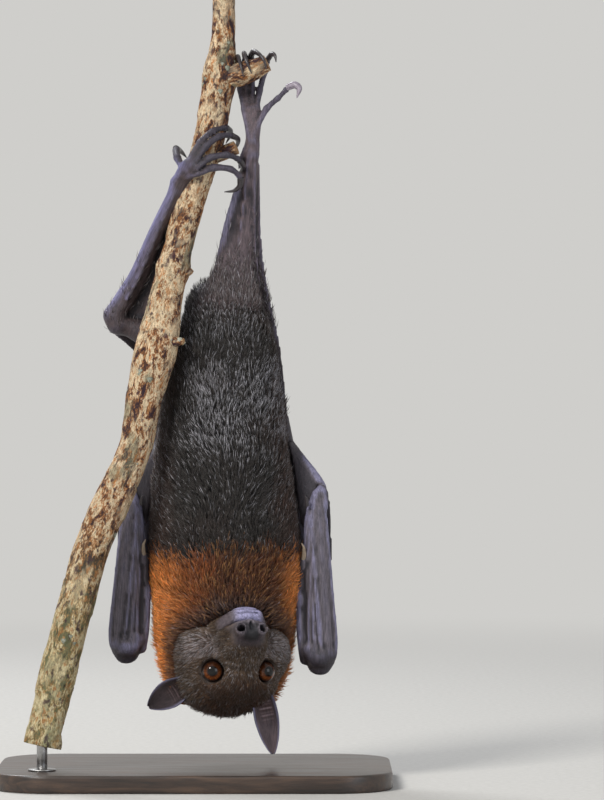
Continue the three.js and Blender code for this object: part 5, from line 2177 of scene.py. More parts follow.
@dataclass(frozen=True)
class SkinFinish:
    """Soft leathery skin: fine wrinkles and pores where bare, and a nap where fur grows."""

    wrinkle: float = 0.6
    wrinkle_depth: float = 0.0007
    gloss: float = 0.38

    def material(self) -> bpy.types.Material:
        """Builds it.

        Returns:
            The material.
        """
        graph = Graph("bare_skin")
        place, tone = graph.attribute("lie_place", "Vector"), graph.attribute("tone")
        bare = graph.attribute("bare", "Fac")
        folds = graph.grain(place, (1.0, 1.0, 0.1), 5, 0.62, 0.5)
        lines = graph.grain(place, (2.6, 2.6, 0.16), 4, 0.6, 0.3)
        net = graph.cells(graph.scaled(place, (1, 1, 0.55)), 1.5)
        pores = graph.noise(place, 2.6, 3, 0.6)
        shadow = graph.span(folds, 0.36, 0.64, 0.7, 1.24)
        streak = graph.span(lines, 0.34, 0.66, 0.8, 1.24)
        speck = graph.span(pores, 0.3, 0.7, 0.9, 1.1)
        vary = graph.times(graph.times(shadow, speck), streak)
        light = graph.tinted(tone, vary)
        height = graph.plus(graph.times(folds, 1.1), graph.span(net, 0, 0.2, 0, 0.22))
        height = graph.plus(height, graph.times(lines, 0.5))
        normal = graph.bump(graph.plus(height, graph.times(pores, 0.15)), self.wrinkle,
                            self.wrinkle_depth)
        rough = graph.plus(graph.span(folds, 0.3, 0.7, self.gloss, self.gloss + 0.16),
                           graph.times(graph.sum("SUBTRACT", 1.0, bare), 0.3))
        return graph.shade(Base_Color=light, Roughness=rough, Normal=normal, Specular_IOR_Level=0.5,
                           Specular_Tint=(0.8, 0.85, 1.0))


@dataclass(frozen=True)
class CoatFinish:
    """Hair: several fine strands to a tuft, each a little lighter or darker, with a soft sheen."""

    name: str
    strands: float = 9.0
    roughness: float = 0.46
    sheen: float = 0.12

    def material(self) -> bpy.types.Material:
        """Builds it.

        Returns:
            The material.
        """
        graph = Graph(self.name)
        tone, place = graph.attribute("tone"), graph.attribute("hair_place", "Vector")
        fine = graph.grain(place, (self.strands, 1.6, 190), 3, 0.6)
        band = graph.grain(place, (2.0, 3.2, 77), 2, 0.5)
        vary = graph.times(graph.span(fine, 0.3, 0.7, 0.66, 1.34), graph.span(band, 0.3, 0.7, 0.86, 1.14))
        light = graph.tinted(tone, vary)
        rough = graph.span(fine, 0.3, 0.7, self.roughness - 0.06, self.roughness + 0.12)
        normal = graph.bump(fine, 0.5, 0.0002)
        return graph.shade(Base_Color=light, Roughness=rough, Normal=normal, Specular_IOR_Level=0.4,
                           Sheen_Weight=self.sheen, Sheen_Roughness=0.4)


@dataclass(frozen=True)
class EyeFinish:
    """A wet brown eye: a round pupil, an iris of fine fibres, and a dark rim."""

    pupil: float = 0.42
    iris: float = 0.86

    def material(self) -> bpy.types.Material:
        """Builds it.

        Returns:
            The material.
        """
        graph = Graph("eye")
        place = graph.attribute("gaze_place", "Vector")
        x, y = graph.add("ShaderNodeSeparateXYZ", {0: place}).outputs[:2]
        out = graph.reach(x, y)
        around = graph.sum("ARCTAN2", y, x)
        spokes = graph.add("ShaderNodeCombineXYZ", {0: graph.times(graph.sum("COSINE", around), 14.0),
                                                    1: graph.times(graph.sum("SINE", around), 14.0),
                                                    2: graph.times(out, 2.4)}).outputs[0]
        fibre = graph.noise(spokes, 1.0, 4, 0.65, 0.3)
        stops = ((0.28, linear(34, 15, 8)), (0.5, linear(84, 42, 18)), (0.74, linear(140, 80, 36)))
        brown = graph.ramp(fibre, stops)
        lit = graph.span(y, -0.6, 0.7, 0.4, 1.7)
        brown = graph.tinted(brown, lit)
        inner = graph.span(out, self.pupil, self.pupil + 0.2, 0.0, 1.0)
        brown = graph.mix(inner, linear(58, 28, 14), brown)
        edge = graph.span(out, self.iris - 0.2, self.iris + 0.03)
        ringed = graph.mix(edge, brown, linear(22, 13, 10))
        hole = graph.span(graph.plus(out, graph.times(fibre, 0.02)), self.pupil - 0.015,
                          self.pupil + 0.035)
        colour = graph.mix(hole, linear(6, 4, 4), ringed)
        white = graph.span(out, self.iris + 0.08, self.iris + 0.2)
        veins = graph.grain(place, (7, 7, 7), 6, 0.7, 1.5)
        sclera = graph.mix(graph.span(veins, 0.45, 0.7), linear(70, 52, 44), linear(96, 50, 40))
        colour = graph.mix(graph.times(white, 0.75), colour, sclera)
        normal = graph.bump(fibre, 0.15, 0.0001)
        return graph.shade(Base_Color=colour, Roughness=graph.span(fibre, 0.3, 0.7, 0.45, 0.6), Normal=normal,
                           Coat_Weight=1.0, Coat_Roughness=0.02, Coat_IOR=1.4, Specular_IOR_Level=0.05)


@dataclass(frozen=True)
class ClawFinish:
    """Horn that grew in layers: darker root, paler worn edges and fine lengthwise grooves."""

    name: str
    dark: Sequence[float]
    pale: Sequence[float]
    roughness: float = 0.26

    def material(self) -> bpy.types.Material:
        """Builds it.

        Returns:
            The material.
        """
        graph = Graph(self.name)
        place = graph.attribute("claw_place", "Vector")
        groove = graph.grain(place, (9, 9, 0.8), 4, 0.6)
        layer = graph.grain(place, (1.5, 1.5, 9), 3, 0.5)
        along = graph.add("ShaderNodeSeparateXYZ", {0: place}).outputs[2]
        share = graph.plus(graph.times(groove, 0.6), graph.times(layer, 0.4))
        colour = graph.ramp(share, ((0.36, self.dark), (0.66, self.pale)))
        colour = graph.mix(graph.span(along, 0.55, 1.0, 0.0, 0.45), colour, self.pale)
        normal = graph.bump(groove, 0.35, 0.00012)
        return graph.shade(Base_Color=colour, Normal=normal, Specular_IOR_Level=0.55,
                           Roughness=graph.span(layer, 0.3, 0.7, self.roughness, self.roughness + 0.16))


@dataclass(frozen=True)
class BarkFinish:
    """Old peeling bark: cream and grey sheets over orange-brown, with dark cracks between them."""

    cream: np.ndarray = paint(234, 212, 176)
    tan: np.ndarray = paint(172, 112, 62)
    brown: np.ndarray = paint(92, 66, 54)
    dark: np.ndarray = paint(52, 37, 44)
    moss: np.ndarray = paint(118, 122, 100)
    algae: np.ndarray = paint(176, 186, 128)

    def material(self) -> bpy.types.Material:
        """Builds it.

        Returns:
            The material.
        """
        graph = Graph("bark")
        place = graph.attribute("bark_place", "Vector")
        crack = graph.attribute("crack", "Fac")
        sheet = graph.grain(place, (0.2, 0.2, 0.1), 7, 0.66, 0.6)
        fine = graph.grain(place, (1.2, 1.2, 0.55), 6, 0.7, 0.4)
        speck = graph.grain(place, (3.2, 3.2, 2.4), 3, 0.6)
        share = graph.plus(graph.times(sheet, 0.66), graph.times(fine, 0.34))
        zone = graph.grain(place, (0.035, 0.035, 0.014), 2, 0.5)
        share = graph.plus(share, graph.span(zone, 0.36, 0.64, -0.035, 0.03))
        height_above = graph.add("ShaderNodeSeparateXYZ", {0: graph.here()}).outputs[2]
        share = graph.plus(share, graph.span(height_above, 0.3, 0.4, 0.0, -0.022))
        stops = ((0.405, self.dark), (0.45, self.brown), (0.485, self.tan), (0.515, self.cream * 0.8),
                 (0.56, self.cream), (0.62, self.tan * 1.3))
        colour = graph.ramp(share, stops)
        patch = graph.grain(place, (0.06, 0.06, 0.03), 4, 0.55)
        colour = graph.mix(graph.span(patch, 0.57, 0.64, 0, 0.6), colour, self.moss)
        colour = graph.mix(graph.span(patch, 0.40, 0.46, 0.45, 0.0), colour, self.cream)
        colour = graph.mix(graph.span(height_above, 0.07, 0.16, 0.3, 0.0), colour, self.algae)
        rosy = graph.grain(place, (0.3, 0.3, 0.16), 5, 0.62)
        colour = graph.mix(graph.span(rosy, 0.57, 0.64, 0, 0.8), colour, linear(70, 48, 56))
        colour = graph.mix(graph.span(rosy, 0.44, 0.36, 0, 0.7), colour, linear(176, 118, 66))
        hairline = graph.grain(place, (1.0, 1.0, 0.2), 7, 0.7, 0.8)
        lines = graph.span(graph.sum("ABSOLUTE", graph.sum("SUBTRACT", hairline, 0.5)), 0.0, 0.028, 1.0, 0.0)
        colour = graph.mix(graph.times(lines, 0.6), colour, self.dark)
        colour = graph.mix(graph.span(speck, 0.62, 0.72, 0, 0.5), colour, self.brown * 0.7)
        colour = graph.mix(graph.span(crack, 0.25, 0.9, 0, 0.7), colour, self.dark)
        height = graph.sum("SUBTRACT", graph.plus(graph.times(fine, 0.7), graph.times(speck, 0.25)),
                           graph.times(lines, 0.4))
        normal = graph.bump(height, 0.7, 0.0011)
        return graph.shade(Base_Color=colour, Normal=normal, Specular_IOR_Level=0.25,
                           Roughness=graph.span(fine, 0.3, 0.7, 0.72, 0.9))


@dataclass(frozen=True)
class CutWoodFinish:
    """The sawn ends of the perch: yearly rings and a fine, darker grain."""

    def material(self) -> bpy.types.Material:
        """Builds it.

        Returns:
            The material.
        """
        graph = Graph("bark_cut")
        place = graph.attribute("bark_place", "Vector")
        out = graph.reach(*graph.add("ShaderNodeSeparateXYZ", {0: place}).outputs[:2])
        wobble = graph.grain(place, (0.25, 0.25, 0.25), 3, 0.5)
        ring = graph.sum("SINE", graph.times(graph.plus(out, graph.times(wobble, 1.6)), 8.0))
        fine = graph.grain(place, (3, 3, 3), 4, 0.6)
        colour = graph.mix(graph.span(ring, -0.6, 0.9), linear(184, 146, 104), linear(150, 108, 72))
        colour = graph.mix(graph.span(fine, 0.4, 0.7, 0, 0.5), colour, linear(128, 96, 68))
        normal = graph.bump(graph.plus(graph.times(ring, 0.2), fine), 0.4, 0.0004)
        return graph.shade(Base_Color=colour, Normal=normal, Roughness=graph.span(fine, 0.3, 0.7, 0.7, 0.85))


@dataclass(frozen=True)
class LichenFinish:
    """Dry grey-green crusts of lichen."""

    def material(self) -> bpy.types.Material:
        """Builds it.

        Returns:
            The material.
        """
        graph = Graph("bark_lichen")
        here = graph.here()
        fine, broad = graph.noise(here, 1400, 5, 0.65), graph.noise(here, 160, 3, 0.5)
        share = graph.plus(graph.times(fine, 0.6), graph.times(broad, 0.4))
        stops = ((0.36, linear(96, 98, 84)), (0.5, linear(148, 150, 134)), (0.66, linear(196, 196, 182)))
        colour = graph.ramp(share, stops)
        return graph.shade(Base_Color=colour, Normal=graph.bump(fine, 0.8, 0.0004), Specular_IOR_Level=0.2,
                           Roughness=graph.span(fine, 0.3, 0.7, 0.8, 0.95))


@dataclass(frozen=True)
class BoardFinish:
    """Dark stained wood under a thin satin lacquer, its grain along the board."""

    def material(self) -> bpy.types.Material:
        """Builds it.

        Returns:
            The material.
        """
        graph = Graph("stand_board")
        here = graph.here()
        grain = graph.grain(here, (22, 260, 260), 6, 0.6, 0.7)
        pore = graph.grain(here, (110, 2600, 2600), 3, 0.6)
        stops = ((0.32, linear(34, 26, 22)), (0.52, linear(58, 43, 34)), (0.7, linear(82, 62, 48)))
        colour = graph.ramp(grain, stops)
        colour = graph.mix(graph.span(pore, 0.58, 0.7, 0, 0.6), colour, linear(22, 17, 15))
        height = graph.sum("SUBTRACT", graph.times(grain, 0.5), graph.span(pore, 0.56, 0.7, 0, 0.6))
        normal = graph.bump(height, 0.3, 0.0003)
        return graph.shade(Base_Color=colour, Normal=normal, Coat_Weight=0.35, Coat_Roughness=0.25,
                           Roughness=graph.span(grain, 0.3, 0.7, 0.38, 0.52))


@dataclass(frozen=True)
class SteelFinish:
    """Brushed steel, its fine scratches round the pin."""

    def material(self) -> bpy.types.Material:
        """Builds it.

        Returns:
            The material.
        """
        graph = Graph("stand_pin")
        here = graph.here()
        brush = graph.grain(here, (300, 300, 9000), 3, 0.6)
        smear = graph.noise(here, 240, 4, 0.6)
        colour = graph.mix(graph.span(smear, 0.3, 0.7), linear(150, 150, 152), linear(178, 177, 176))
        normal = graph.bump(brush, 0.12, 0.00005)
        rough = graph.plus(graph.span(brush, 0.3, 0.7, 0.24, 0.36), graph.span(smear, 0.4, 0.7, 0, 0.08))
        return graph.shade(Base_Color=colour, Metallic=1.0, Normal=normal, Roughness=rough)


# ---- eyes and claws -------------------------------------------------------------------------------


@dataclass
class Eyes:
    """The two eyeballs, each with the low dome of its cornea."""

    head: Head
    rows: int = 72
    columns: int = 96
    cornea: float = 0.055
    cornea_angle: float = 48.0

    def build(self, side: BodySide, finish: bpy.types.Material) -> bpy.types.Object:
        """Makes one eye.

        Args:
            side: which eye.
            finish: its material.

        Returns:
            The object.
        """
        bend = np.linspace(0, math.pi, self.rows)[1:-1]
        turn = np.linspace(0, 2 * math.pi, self.columns, endpoint=False)
        bend_grid, turn_grid = np.meshgrid(bend, turn, indexing="ij")
        local = np.stack([np.sin(bend_grid) * np.cos(turn_grid), np.sin(bend_grid) * np.sin(turn_grid),
                          np.cos(bend_grid)], -1).reshape(-1, 3)
        local = np.vstack([local, [0, 0, 1], [0, 0, -1]])
        dome = 1 - ease(np.degrees(np.arccos(np.clip(local[:, 2], -1, 1))), 8, self.cornea_angle)
        swollen = local * (1 + self.cornea * dome)[:, None]
        axes = self.head.gaze_axes(side)
        points = self.head.eye_centre(side) + swollen * self.head.eye_radius @ axes
        quads, caps = ring_faces(len(bend), self.columns)
        if np.linalg.det(axes) > 0:
            quads, caps = quads[:, ::-1], caps[:, ::-1]
        piece = make_object(f"eyeball_{side.label}", points, [quads, caps], finish,
                            {"gaze_place": local})
        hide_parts(f"eye_{side.label}")
        return piece


@dataclass(frozen=True)
class Claw:
    """A curved horn, narrower than it is deep, that starts a little inside its toe."""

    stations: Rows
    sides: int = 20
    fine: int = 9
    buried: float = 1.2
    narrow: float = 0.9
    stout: float = 1.15

    def tube(self) -> tuple[np.ndarray, list[np.ndarray], np.ndarray]:
        """Draws it.

        Returns:
            Its points, its faces, and each point's place on the horn.
        """
        rows = np.array(self.stations, float)
        back = unit(rows[0, :3] - rows[1, :3])
        rows = np.vstack([[*(rows[0, :3] + back * self.buried), rows[0, 3]], rows])
        tip = rows[-1, :3] + unit(rows[-1, :3] - rows[-2, :3]) * 0.5
        rows = thread(np.vstack([rows, [*tip, 0.12]]), self.fine)
        path, size = rows[:, :3], np.maximum(rows[:, 3] * self.stout, 0.08)
        along = unit(np.gradient(path, axis=0))
        bend = unit(np.cross(path[0] - path[len(path) // 2], path[-1] - path[len(path) // 2]))
        wide = unit(bend - along * (along @ bend)[:, None])
        deep = np.cross(along, wide)
        turn = np.linspace(0, 2 * math.pi, self.sides, endpoint=False)
        reach = np.linspace(0, 1, len(path))
        cos, sin = np.cos(turn)[None, :, None], np.sin(turn)[None, :, None]
        around = wide[:, None] * cos * self.narrow + deep[:, None] * sin
        points = path[:, None] + size[:, None, None] * around
        places = np.concatenate(np.broadcast_arrays(cos, sin, reach[:, None, None]), -1)
        points = np.vstack([points.reshape(-1, 3), path[0], path[-1] + along[-1] * 0.08])
        places = np.vstack([places.reshape(-1, 3), [0, 0, 0], [0, 0, 1]])
        return points, list(ring_faces(len(path), self.sides)), places

    def build(self, name: str, node: str, finish: bpy.types.Material) -> bpy.types.Object:
        """Makes it, in place of its CAD node.

        Args:
            name: its name.
            node: the CAD node.
            finish: its material.

        Returns:
            The object.
        """
        points, faces, places = self.tube()
        piece = make_object(name, points, faces, finish, {"claw_place": places})
        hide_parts(node)
        return piece


# ---- the bat ----------------------------------------------------------------------------------------


@dataclass
class Bat:
    """The whole animal: one skin, two eyes, fourteen claws and the coat."""

    markings: Markings = field(default_factory=Markings)
    head: Head = field(default_factory=Head)
    trunk: Trunk = field(default_factory=Trunk)
    fields: dict[str, Field] = field(default_factory=dict)
    shells: dict[str, Shell] = field(default_factory=dict)

    def grow(self) -> None:
        """Grows every part of the skin."""
        self.fields["head"] = self.head.field()
        self.shells["head"] = self.head.shell(self.fields["head"], self.markings)
        self.fields["trunk"] = self.trunk.field()
        self.shells["trunk"] = self.trunk.shell(self.fields["trunk"], self.markings)
        for side in BodySide:
            flank = Flank(side)
            self.fields[side.label] = flank.field()
            self.shells[side.label] = flank.shell(self.fields[side.label], self.markings)
            self.shells[f"ear_{side.label}"] = make_ears()[side].shell(self.markings)
        for name, shell in self.shells.items():
            LOG.info("grew %s: %d faces", name, len(shell.faces))

    def build_skin(self) -> None:
        """Makes the one skin, in place of every node of flesh."""
        skin = Shell.joined(list(self.shells.values()))
        piece = make_object("skin", skin.points, [skin.faces], SkinFinish().material(),
                            {"tone": skin.colour, "bare": skin.bare, "lie_place": skin.place})
        paired = ("ear", "upper_arm", "forearm", "hand", "thumb", "wing_skin", "hand_skin", "leg_web",
                  "thigh", "shin", "foot")
        nodes = [f"{kind}_{side.label}" for kind in paired for side in BodySide]
        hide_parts("belly", "chest", "neck", "hips", "head", "muzzle", "jaw", *nodes)

    def build_claws(self) -> None:
        """Makes the claws of feet, thumbs and index fingers."""
        black = ClawFinish("claw", linear(18, 16, 18), linear(74, 66, 70)).material()
        # the right foot's outer claw is coloured pale as a painted highlight
        pale = ClawFinish("claw_pale", linear(92, 82, 96), linear(176, 166, 178), 0.34).material()
        horn = ClawFinish("claw_thumb", linear(88, 72, 58), linear(190, 172, 150), 0.34).material()
        for side in BodySide:
            for number, stations in enumerate(LEGS[side].claws, 1):
                outer = side is BodySide.RIGHT and number == 5
                Claw(stations).build(f"horn_{side.label}_{number}", f"claw_{side.label}_{number}",
                                     pale if outer else black)
            flank = Flank(side)
            for kind, rows in (("thumb", flank.thumb_claw), ("index", flank.index_claw)):
                stations = flank.on_side(rows)[:, :4]
                Claw(stations).build(f"horn_{kind}_{side.label}", f"{kind}_claw_{side.label}",
                                     horn if kind == "thumb" else black)

    def build_coat(self) -> None:
        """Lays the coat and makes its pieces."""
        coat = Coat(self.markings, self.head.place)
        sides = [self.fields[side.label] for side in BodySide]
        trunk = coat.trunk(self.shells["trunk"], self.trunk, self.fields["head"])
        trunk = coat.clear(trunk, [self.fields["head"], *sides])
        trunk.gather(coat.generator, 2.6, 0.42)
        limbs = [coat.clear(coat.limbs(self.shells[side.label]), [self.fields["trunk"]]) for side in BodySide]
        limbs = Tufts.joined(limbs + [coat.fringe(self.shells[side.label]) for side in BodySide])
        head = coat.clear(coat.head(self.shells["head"], self.head), [self.fields["trunk"]], 1.5)
        head.gather(coat.generator, 1.6, 0.35)
        head = Tufts.joined([head, coat.whiskers(self.fields["head"])])
        body_fur = CoatFinish("body_fur").material()
        collar_fur = CoatFinish("collar_fur", roughness=0.5).material()
        z, front = trunk.roots[:, 2], trunk.roots[:, 1] < self.trunk.middle(trunk.roots[:, 2])
        long, short = ((0, 0.7), (0.35, 1.0), (0.72, 0.62)), ((0, 0.8), (0.5, 0.9))
        bands = (("collar_low", 0, 92, long, collar_fur), ("collar_high", 92, 140, long, collar_fur),
                 ("chest", 140, 185, short, body_fur), ("belly", 185, 232, short, body_fur),
                 ("hips", 232, 400, short, body_fur))
        for name, low, high, rings, finish in bands:
            for label, half in (("front", front), ("back", ~front)):
                chosen = trunk.chosen((z >= low) & (z < high) & half)
                coat.finish_piece(f"coat_{name}_{label}", chosen, rings, False, finish)
        coat.finish_piece("coat_legs", limbs, short, False, body_fur)
        back = self.head.place.inward(head.roots)[:, 1] < -12
        coat.finish_piece("coat_face", head.chosen(~back), short, True, body_fur)
        coat.finish_piece("coat_crown", head.chosen(back), short, True, body_fur)
        LOG.info("coat: %d triangles", coat.count)

    def build(self) -> None:
        """Makes the whole bat."""
        self.grow()
        self.build_skin()
        eye = EyeFinish().material()
        for side in BodySide:
            Eyes(self.head).build(side, eye)
        self.build_claws()
        self.build_coat()


# ---- perch and stand ---------------------------------------------------------------------------------


BRANCH = (
    (-0.9, 8, 454, 6.4), (-0.8, 7, 431, 6.4), (-1, 6, 418, 7.2), (-2.6, 5, 404, 9.6), (-4.8, 3.5, 389, 9),
    (-10.5, 0, 360, 9), (-18.5, -4, 332, 8.8), (-26.5, -9, 303, 8.6), (-33.3, -15, 275, 9.2),
    (-38.2, -20, 246, 11.4), (-44.8, -25, 218, 9.6), (-50.4, -28.5, 189, 9.2), (-62.8, -32, 161, 10.6),
    (-74.4, -35, 132, 10.6), (-82, -37, 104, 10.2), (-90.3, -38, 75, 10.3), (-96.6, -39, 47, 9.8),
    (-101.5, -40, 24, 9.2),
)
TWIGS = (
    ((-2, 4, 401, 6.4), (8, 2, 403.2, 6.6), (17, 0, 406, 6), (24.5, -1, 409.6, 4.8)),
    ((-8, -1, 356, 4.6), (0, -3, 358.5, 4.4), (6.6, -4.5, 361.5, 4)),
    ((-38, -21, 250, 5), (-28, -25, 250.5, 3), (-22.5, -27.5, 251, 1.6)),
    ((-30, -13, 288, 3.4), (-20.5, -15, 289.5, 1.8), (-18, -15.5, 291.5, 1.4)),
)


@dataclass(frozen=True)
class BarkTube:
    """A length of branch: cracked, peeling bark round it, and a sawn or broken face on each end."""

    stations: Rows
    sides: int
    fine: int
    seed: int = 7
    wave: bool = False
    crack_depth: float = 1.0
    end_rings: int = 7
    end_dome: float = 0.06

    def relief(self, places: np.ndarray) -> tuple[np.ndarray, np.ndarray]:
        """How far the bark stands out.

        Args:
            places: places on the bark, in millimetres: across twice, then along.

        Returns:
            The height in millimetres, and how much of a crack there is.
        """
        warp = np.stack([Grain(9, self.seed + k).at(places) for k in range(3)], -1) * 2
        stretched = (places + warp) * np.array([1, 1, 0.4])
        rough = Grain(3.4, self.seed + 11, 3).at(stretched)
        ridge = 1 - np.abs(Grain(5.0, self.seed + 21, 2).at(stretched)) * 5
        crack = ease(ridge, 0.5, 1.0) * ease(Grain(15, self.seed + 25).at(places), 0.1, 0.45)
        pits = ease(Grain(3.0, self.seed + 27, 2).at((places + warp) * np.array([1, 1, 0.7])), 0.46, 0.66)
        plates = ease(Grain(9, self.seed + 31, 3).at(places * np.array([1, 1, 0.5])), 0.0, 0.12)
        knots = ease(Grain(20, self.seed + 41, 1).at(places), 0.5, 0.9)
        sunk = 0.5 * self.crack_depth * (crack + 1.3 * pits)
        return 0.5 * rough + 0.5 * (plates - 0.5) + 1.5 * knots - sunk, np.maximum(crack * 0.8, pits)

    def tube(self) -> tuple[np.ndarray, list[np.ndarray], np.ndarray, np.ndarray, np.ndarray]:
        """Draws it.

        Returns:
            Its points, its faces, each point's place on the bark, how cracked it is there, and which of the
            four-sided faces are sawn.
        """
        rows = thread(self.stations, self.fine)
        path = rows[:, :3]
        along = unit(np.gradient(path, axis=0))
        reach = np.concatenate([[0], np.cumsum(np.linalg.norm(np.diff(path, axis=0), axis=1))])
        ring = np.linspace(1, len(self.stations), len(rows))
        wide = unit(np.array([1.0, 0, 0]) - along * along[:, :1])
        deep = np.cross(along, wide)
        turn = np.linspace(0, 2 * math.pi, self.sides, endpoint=False)
        cos, sin = np.cos(turn)[None], np.sin(turn)[None]
        size = np.repeat(rows[:, 3:4], self.sides, 1)
        if self.wave:
            oval = 0.035 * np.sin(2 * turn + 0.9 * ring[:, None])
            size = size * (1 + oval + 0.03 * np.sin(3 * turn - 1.7 * ring[:, None]))
        places = np.stack([cos * size, sin * size, np.repeat(reach[:, None], self.sides, 1)], -1)
        height, crack = self.relief(places)
        size = size + height * np.minimum(rows[:, 3:4] / 8, 1)
        around = wide[:, None] * cos[..., None] + deep[:, None] * sin[..., None]
        points = path[:, None] + size[..., None] * around
        shares = np.linspace(1, 0, self.end_rings + 1)[1:-1, None, None]
        bulge = np.array([[-1], [1]]) * along[[0, -1]] * self.end_dome * rows[[0, -1], 3:4]
        low, high = (path[end] + (points[end] - path[end]) * shares + bulge[end] * (1 - shares)
                     for end in (0, -1))
        shrink = np.concatenate([shares, shares, np.ones_like(shares)], -1)
        points = np.vstack([low[::-1], points, high])
        places = np.vstack([(places[0] * shrink)[::-1], places, places[-1] * shrink])
        count = len(points)
        cut = np.ones((count - 1, self.sides), bool)
        cut[self.end_rings - 1:count - self.end_rings] = False
        plain = np.zeros((self.end_rings - 1) * self.sides)
        crack = np.concatenate([plain, crack.ravel(), plain, [0, 0]])
        points = np.vstack([points.reshape(-1, 3), path[[0, -1]] + bulge])
        places = np.vstack([places.reshape(-1, 3), [0, 0, reach[0]], [0, 0, reach[-1]]])
        return points, list(ring_faces(count, self.sides)), places, crack, cut.ravel()


@dataclass
class Lichen:
    """Small crusts of lichen scattered over the bark by Geometry Nodes."""

    density: float = 5200.0
    smallest: float = 0.35
    largest: float = 1.25
    seed: int = 5
    radius: float = 1.4
    sides: int = 9

    def flake(self) -> bpy.types.Object:
        """Makes one low, lobed crust about a millimetre across.

        Returns:
            The crust, which is scattered and then removed.
        """
        turn = np.linspace(0, 2 * math.pi, self.sides, endpoint=False)
        rim = self.radius * (1 + 0.22 * np.sin(3 * turn) + 0.1 * np.cos(5 * turn))
        rings = [np.stack([rim * s * np.cos(turn), rim * s * np.sin(turn), np.full(self.sides, h)], -1)
                 for s, h in ((0.9, -0.3), (1.0, 0.05), (0.6, 0.3))]
        points = np.vstack([*rings, [[0, 0, -0.3]], [[0, 0, 0.24]]]) * MILLIMETRE
        quads, caps = ring_faces(len(rings), self.sides)
        mesh = bpy.data.meshes.new("lichen_flake")
        mesh.from_pydata(points.tolist(), [], quads.tolist() + caps.tolist())
        mesh.shade_smooth()
        return place_object("lichen_flake", mesh)

    def tree(self) -> bpy.types.GeometryNodeTree:
        """Builds the group that scatters flakes.

        Returns:
            The group, with its inputs named.
        """
        tree = bpy.data.node_groups.new("scatter_lichen", "GeometryNodeTree")
        for label, kind in (("Geometry", "NodeSocketGeometry"), ("Flake", "NodeSocketObject"),
                            ("Finish", "NodeSocketMaterial"), ("Density", "NodeSocketFloat"),
                            ("Smallest", "NodeSocketFloat"), ("Largest", "NodeSocketFloat"),
                            ("Seed", "NodeSocketInt")):
            tree.interface.new_socket(label, in_out="INPUT", socket_type=kind)
        tree.interface.new_socket("Geometry", in_out="OUTPUT", socket_type="NodeSocketGeometry")
        nodes, link = tree.nodes, tree.links.new
        given, out = nodes.new("NodeGroupInput").outputs, nodes.new("NodeGroupOutput")
        noise = nodes.new("ShaderNodeTexNoise")
        noise.inputs["Scale"].default_value = 42.0
        patches = nodes.new("ShaderNodeMapRange")
        for name, value in (("From Min", 0.5), ("From Max", 0.62), ("To Min", 0.0), ("To Max", 1.0)):
            patches.inputs[name].default_value = value
        product = nodes.new("ShaderNodeMath")
        product.operation = "MULTIPLY"
        scatter = nodes.new("GeometryNodeDistributePointsOnFaces")
        flake = nodes.new("GeometryNodeObjectInfo")
        place = nodes.new("GeometryNodeInstanceOnPoints")
        size = nodes.new("FunctionNodeRandomValue")
        size.data_type = "FLOAT"
        realize, finish = nodes.new("GeometryNodeRealizeInstances"), nodes.new("GeometryNodeSetMaterial")
        link(noise.outputs[0], patches.inputs["Value"])
        link(patches.outputs[0], product.inputs[0])
        link(given["Density"], product.inputs[1])
        link(given["Geometry"], scatter.inputs["Mesh"])
        link(product.outputs[0], scatter.inputs["Density"])
        link(given["Seed"], scatter.inputs["Seed"])
        link(given["Flake"], flake.inputs["Object"])
        link(given["Smallest"], size.inputs[2])
        link(given["Largest"], size.inputs[3])
        link(given["Seed"], size.inputs["Seed"])
        link(scatter.outputs["Points"], place.inputs["Points"])
        link(scatter.outputs["Rotation"], place.inputs["Rotation"])
        link(flake.outputs["Geometry"], place.inputs["Instance"])
        link(size.outputs[1], place.inputs["Scale"])
        link(place.outputs[0], realize.inputs[0])
        link(realize.outputs[0], finish.inputs["Geometry"])
        link(given["Finish"], finish.inputs["Material"])
        link(finish.outputs[0], out.inputs[0])
        return tree

    def build(self, bark: bpy.types.Object) -> bpy.types.Object:
        """Scatters the flakes and keeps the result as a plain mesh.

        Args:
            bark: the branch they grow on.

        Returns:
            The object.
        """
        material, flake, tree = LichenFinish().material(), self.flake(), self.tree()
        carrier = place_object("lichen_carrier", bark.data.copy())
        modifier = carrier.modifiers.new("scatter", "NODES")
        modifier.node_group = tree
        values = {"Flake": flake, "Finish": material, "Density": self.density, "Smallest": self.smallest,
                  "Largest": self.largest, "Seed": self.seed}
        for item in tree.interface.items_tree:
            if item.in_out == "INPUT" and item.name in values:
                modifier[item.identifier] = values[item.name]
        view = carrier.evaluated_get(bpy.context.evaluated_depsgraph_get())
        mesh = bpy.data.meshes.new_from_object(view)
        for item in (carrier, flake):
            bpy.data.objects.remove(item)
        mesh.name = "perch_lichen"
        piece = place_object("perch_lichen", mesh)
        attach(piece, "root")
        LOG.info("perch_lichen: %d faces", len(mesh.polygons))
        return piece


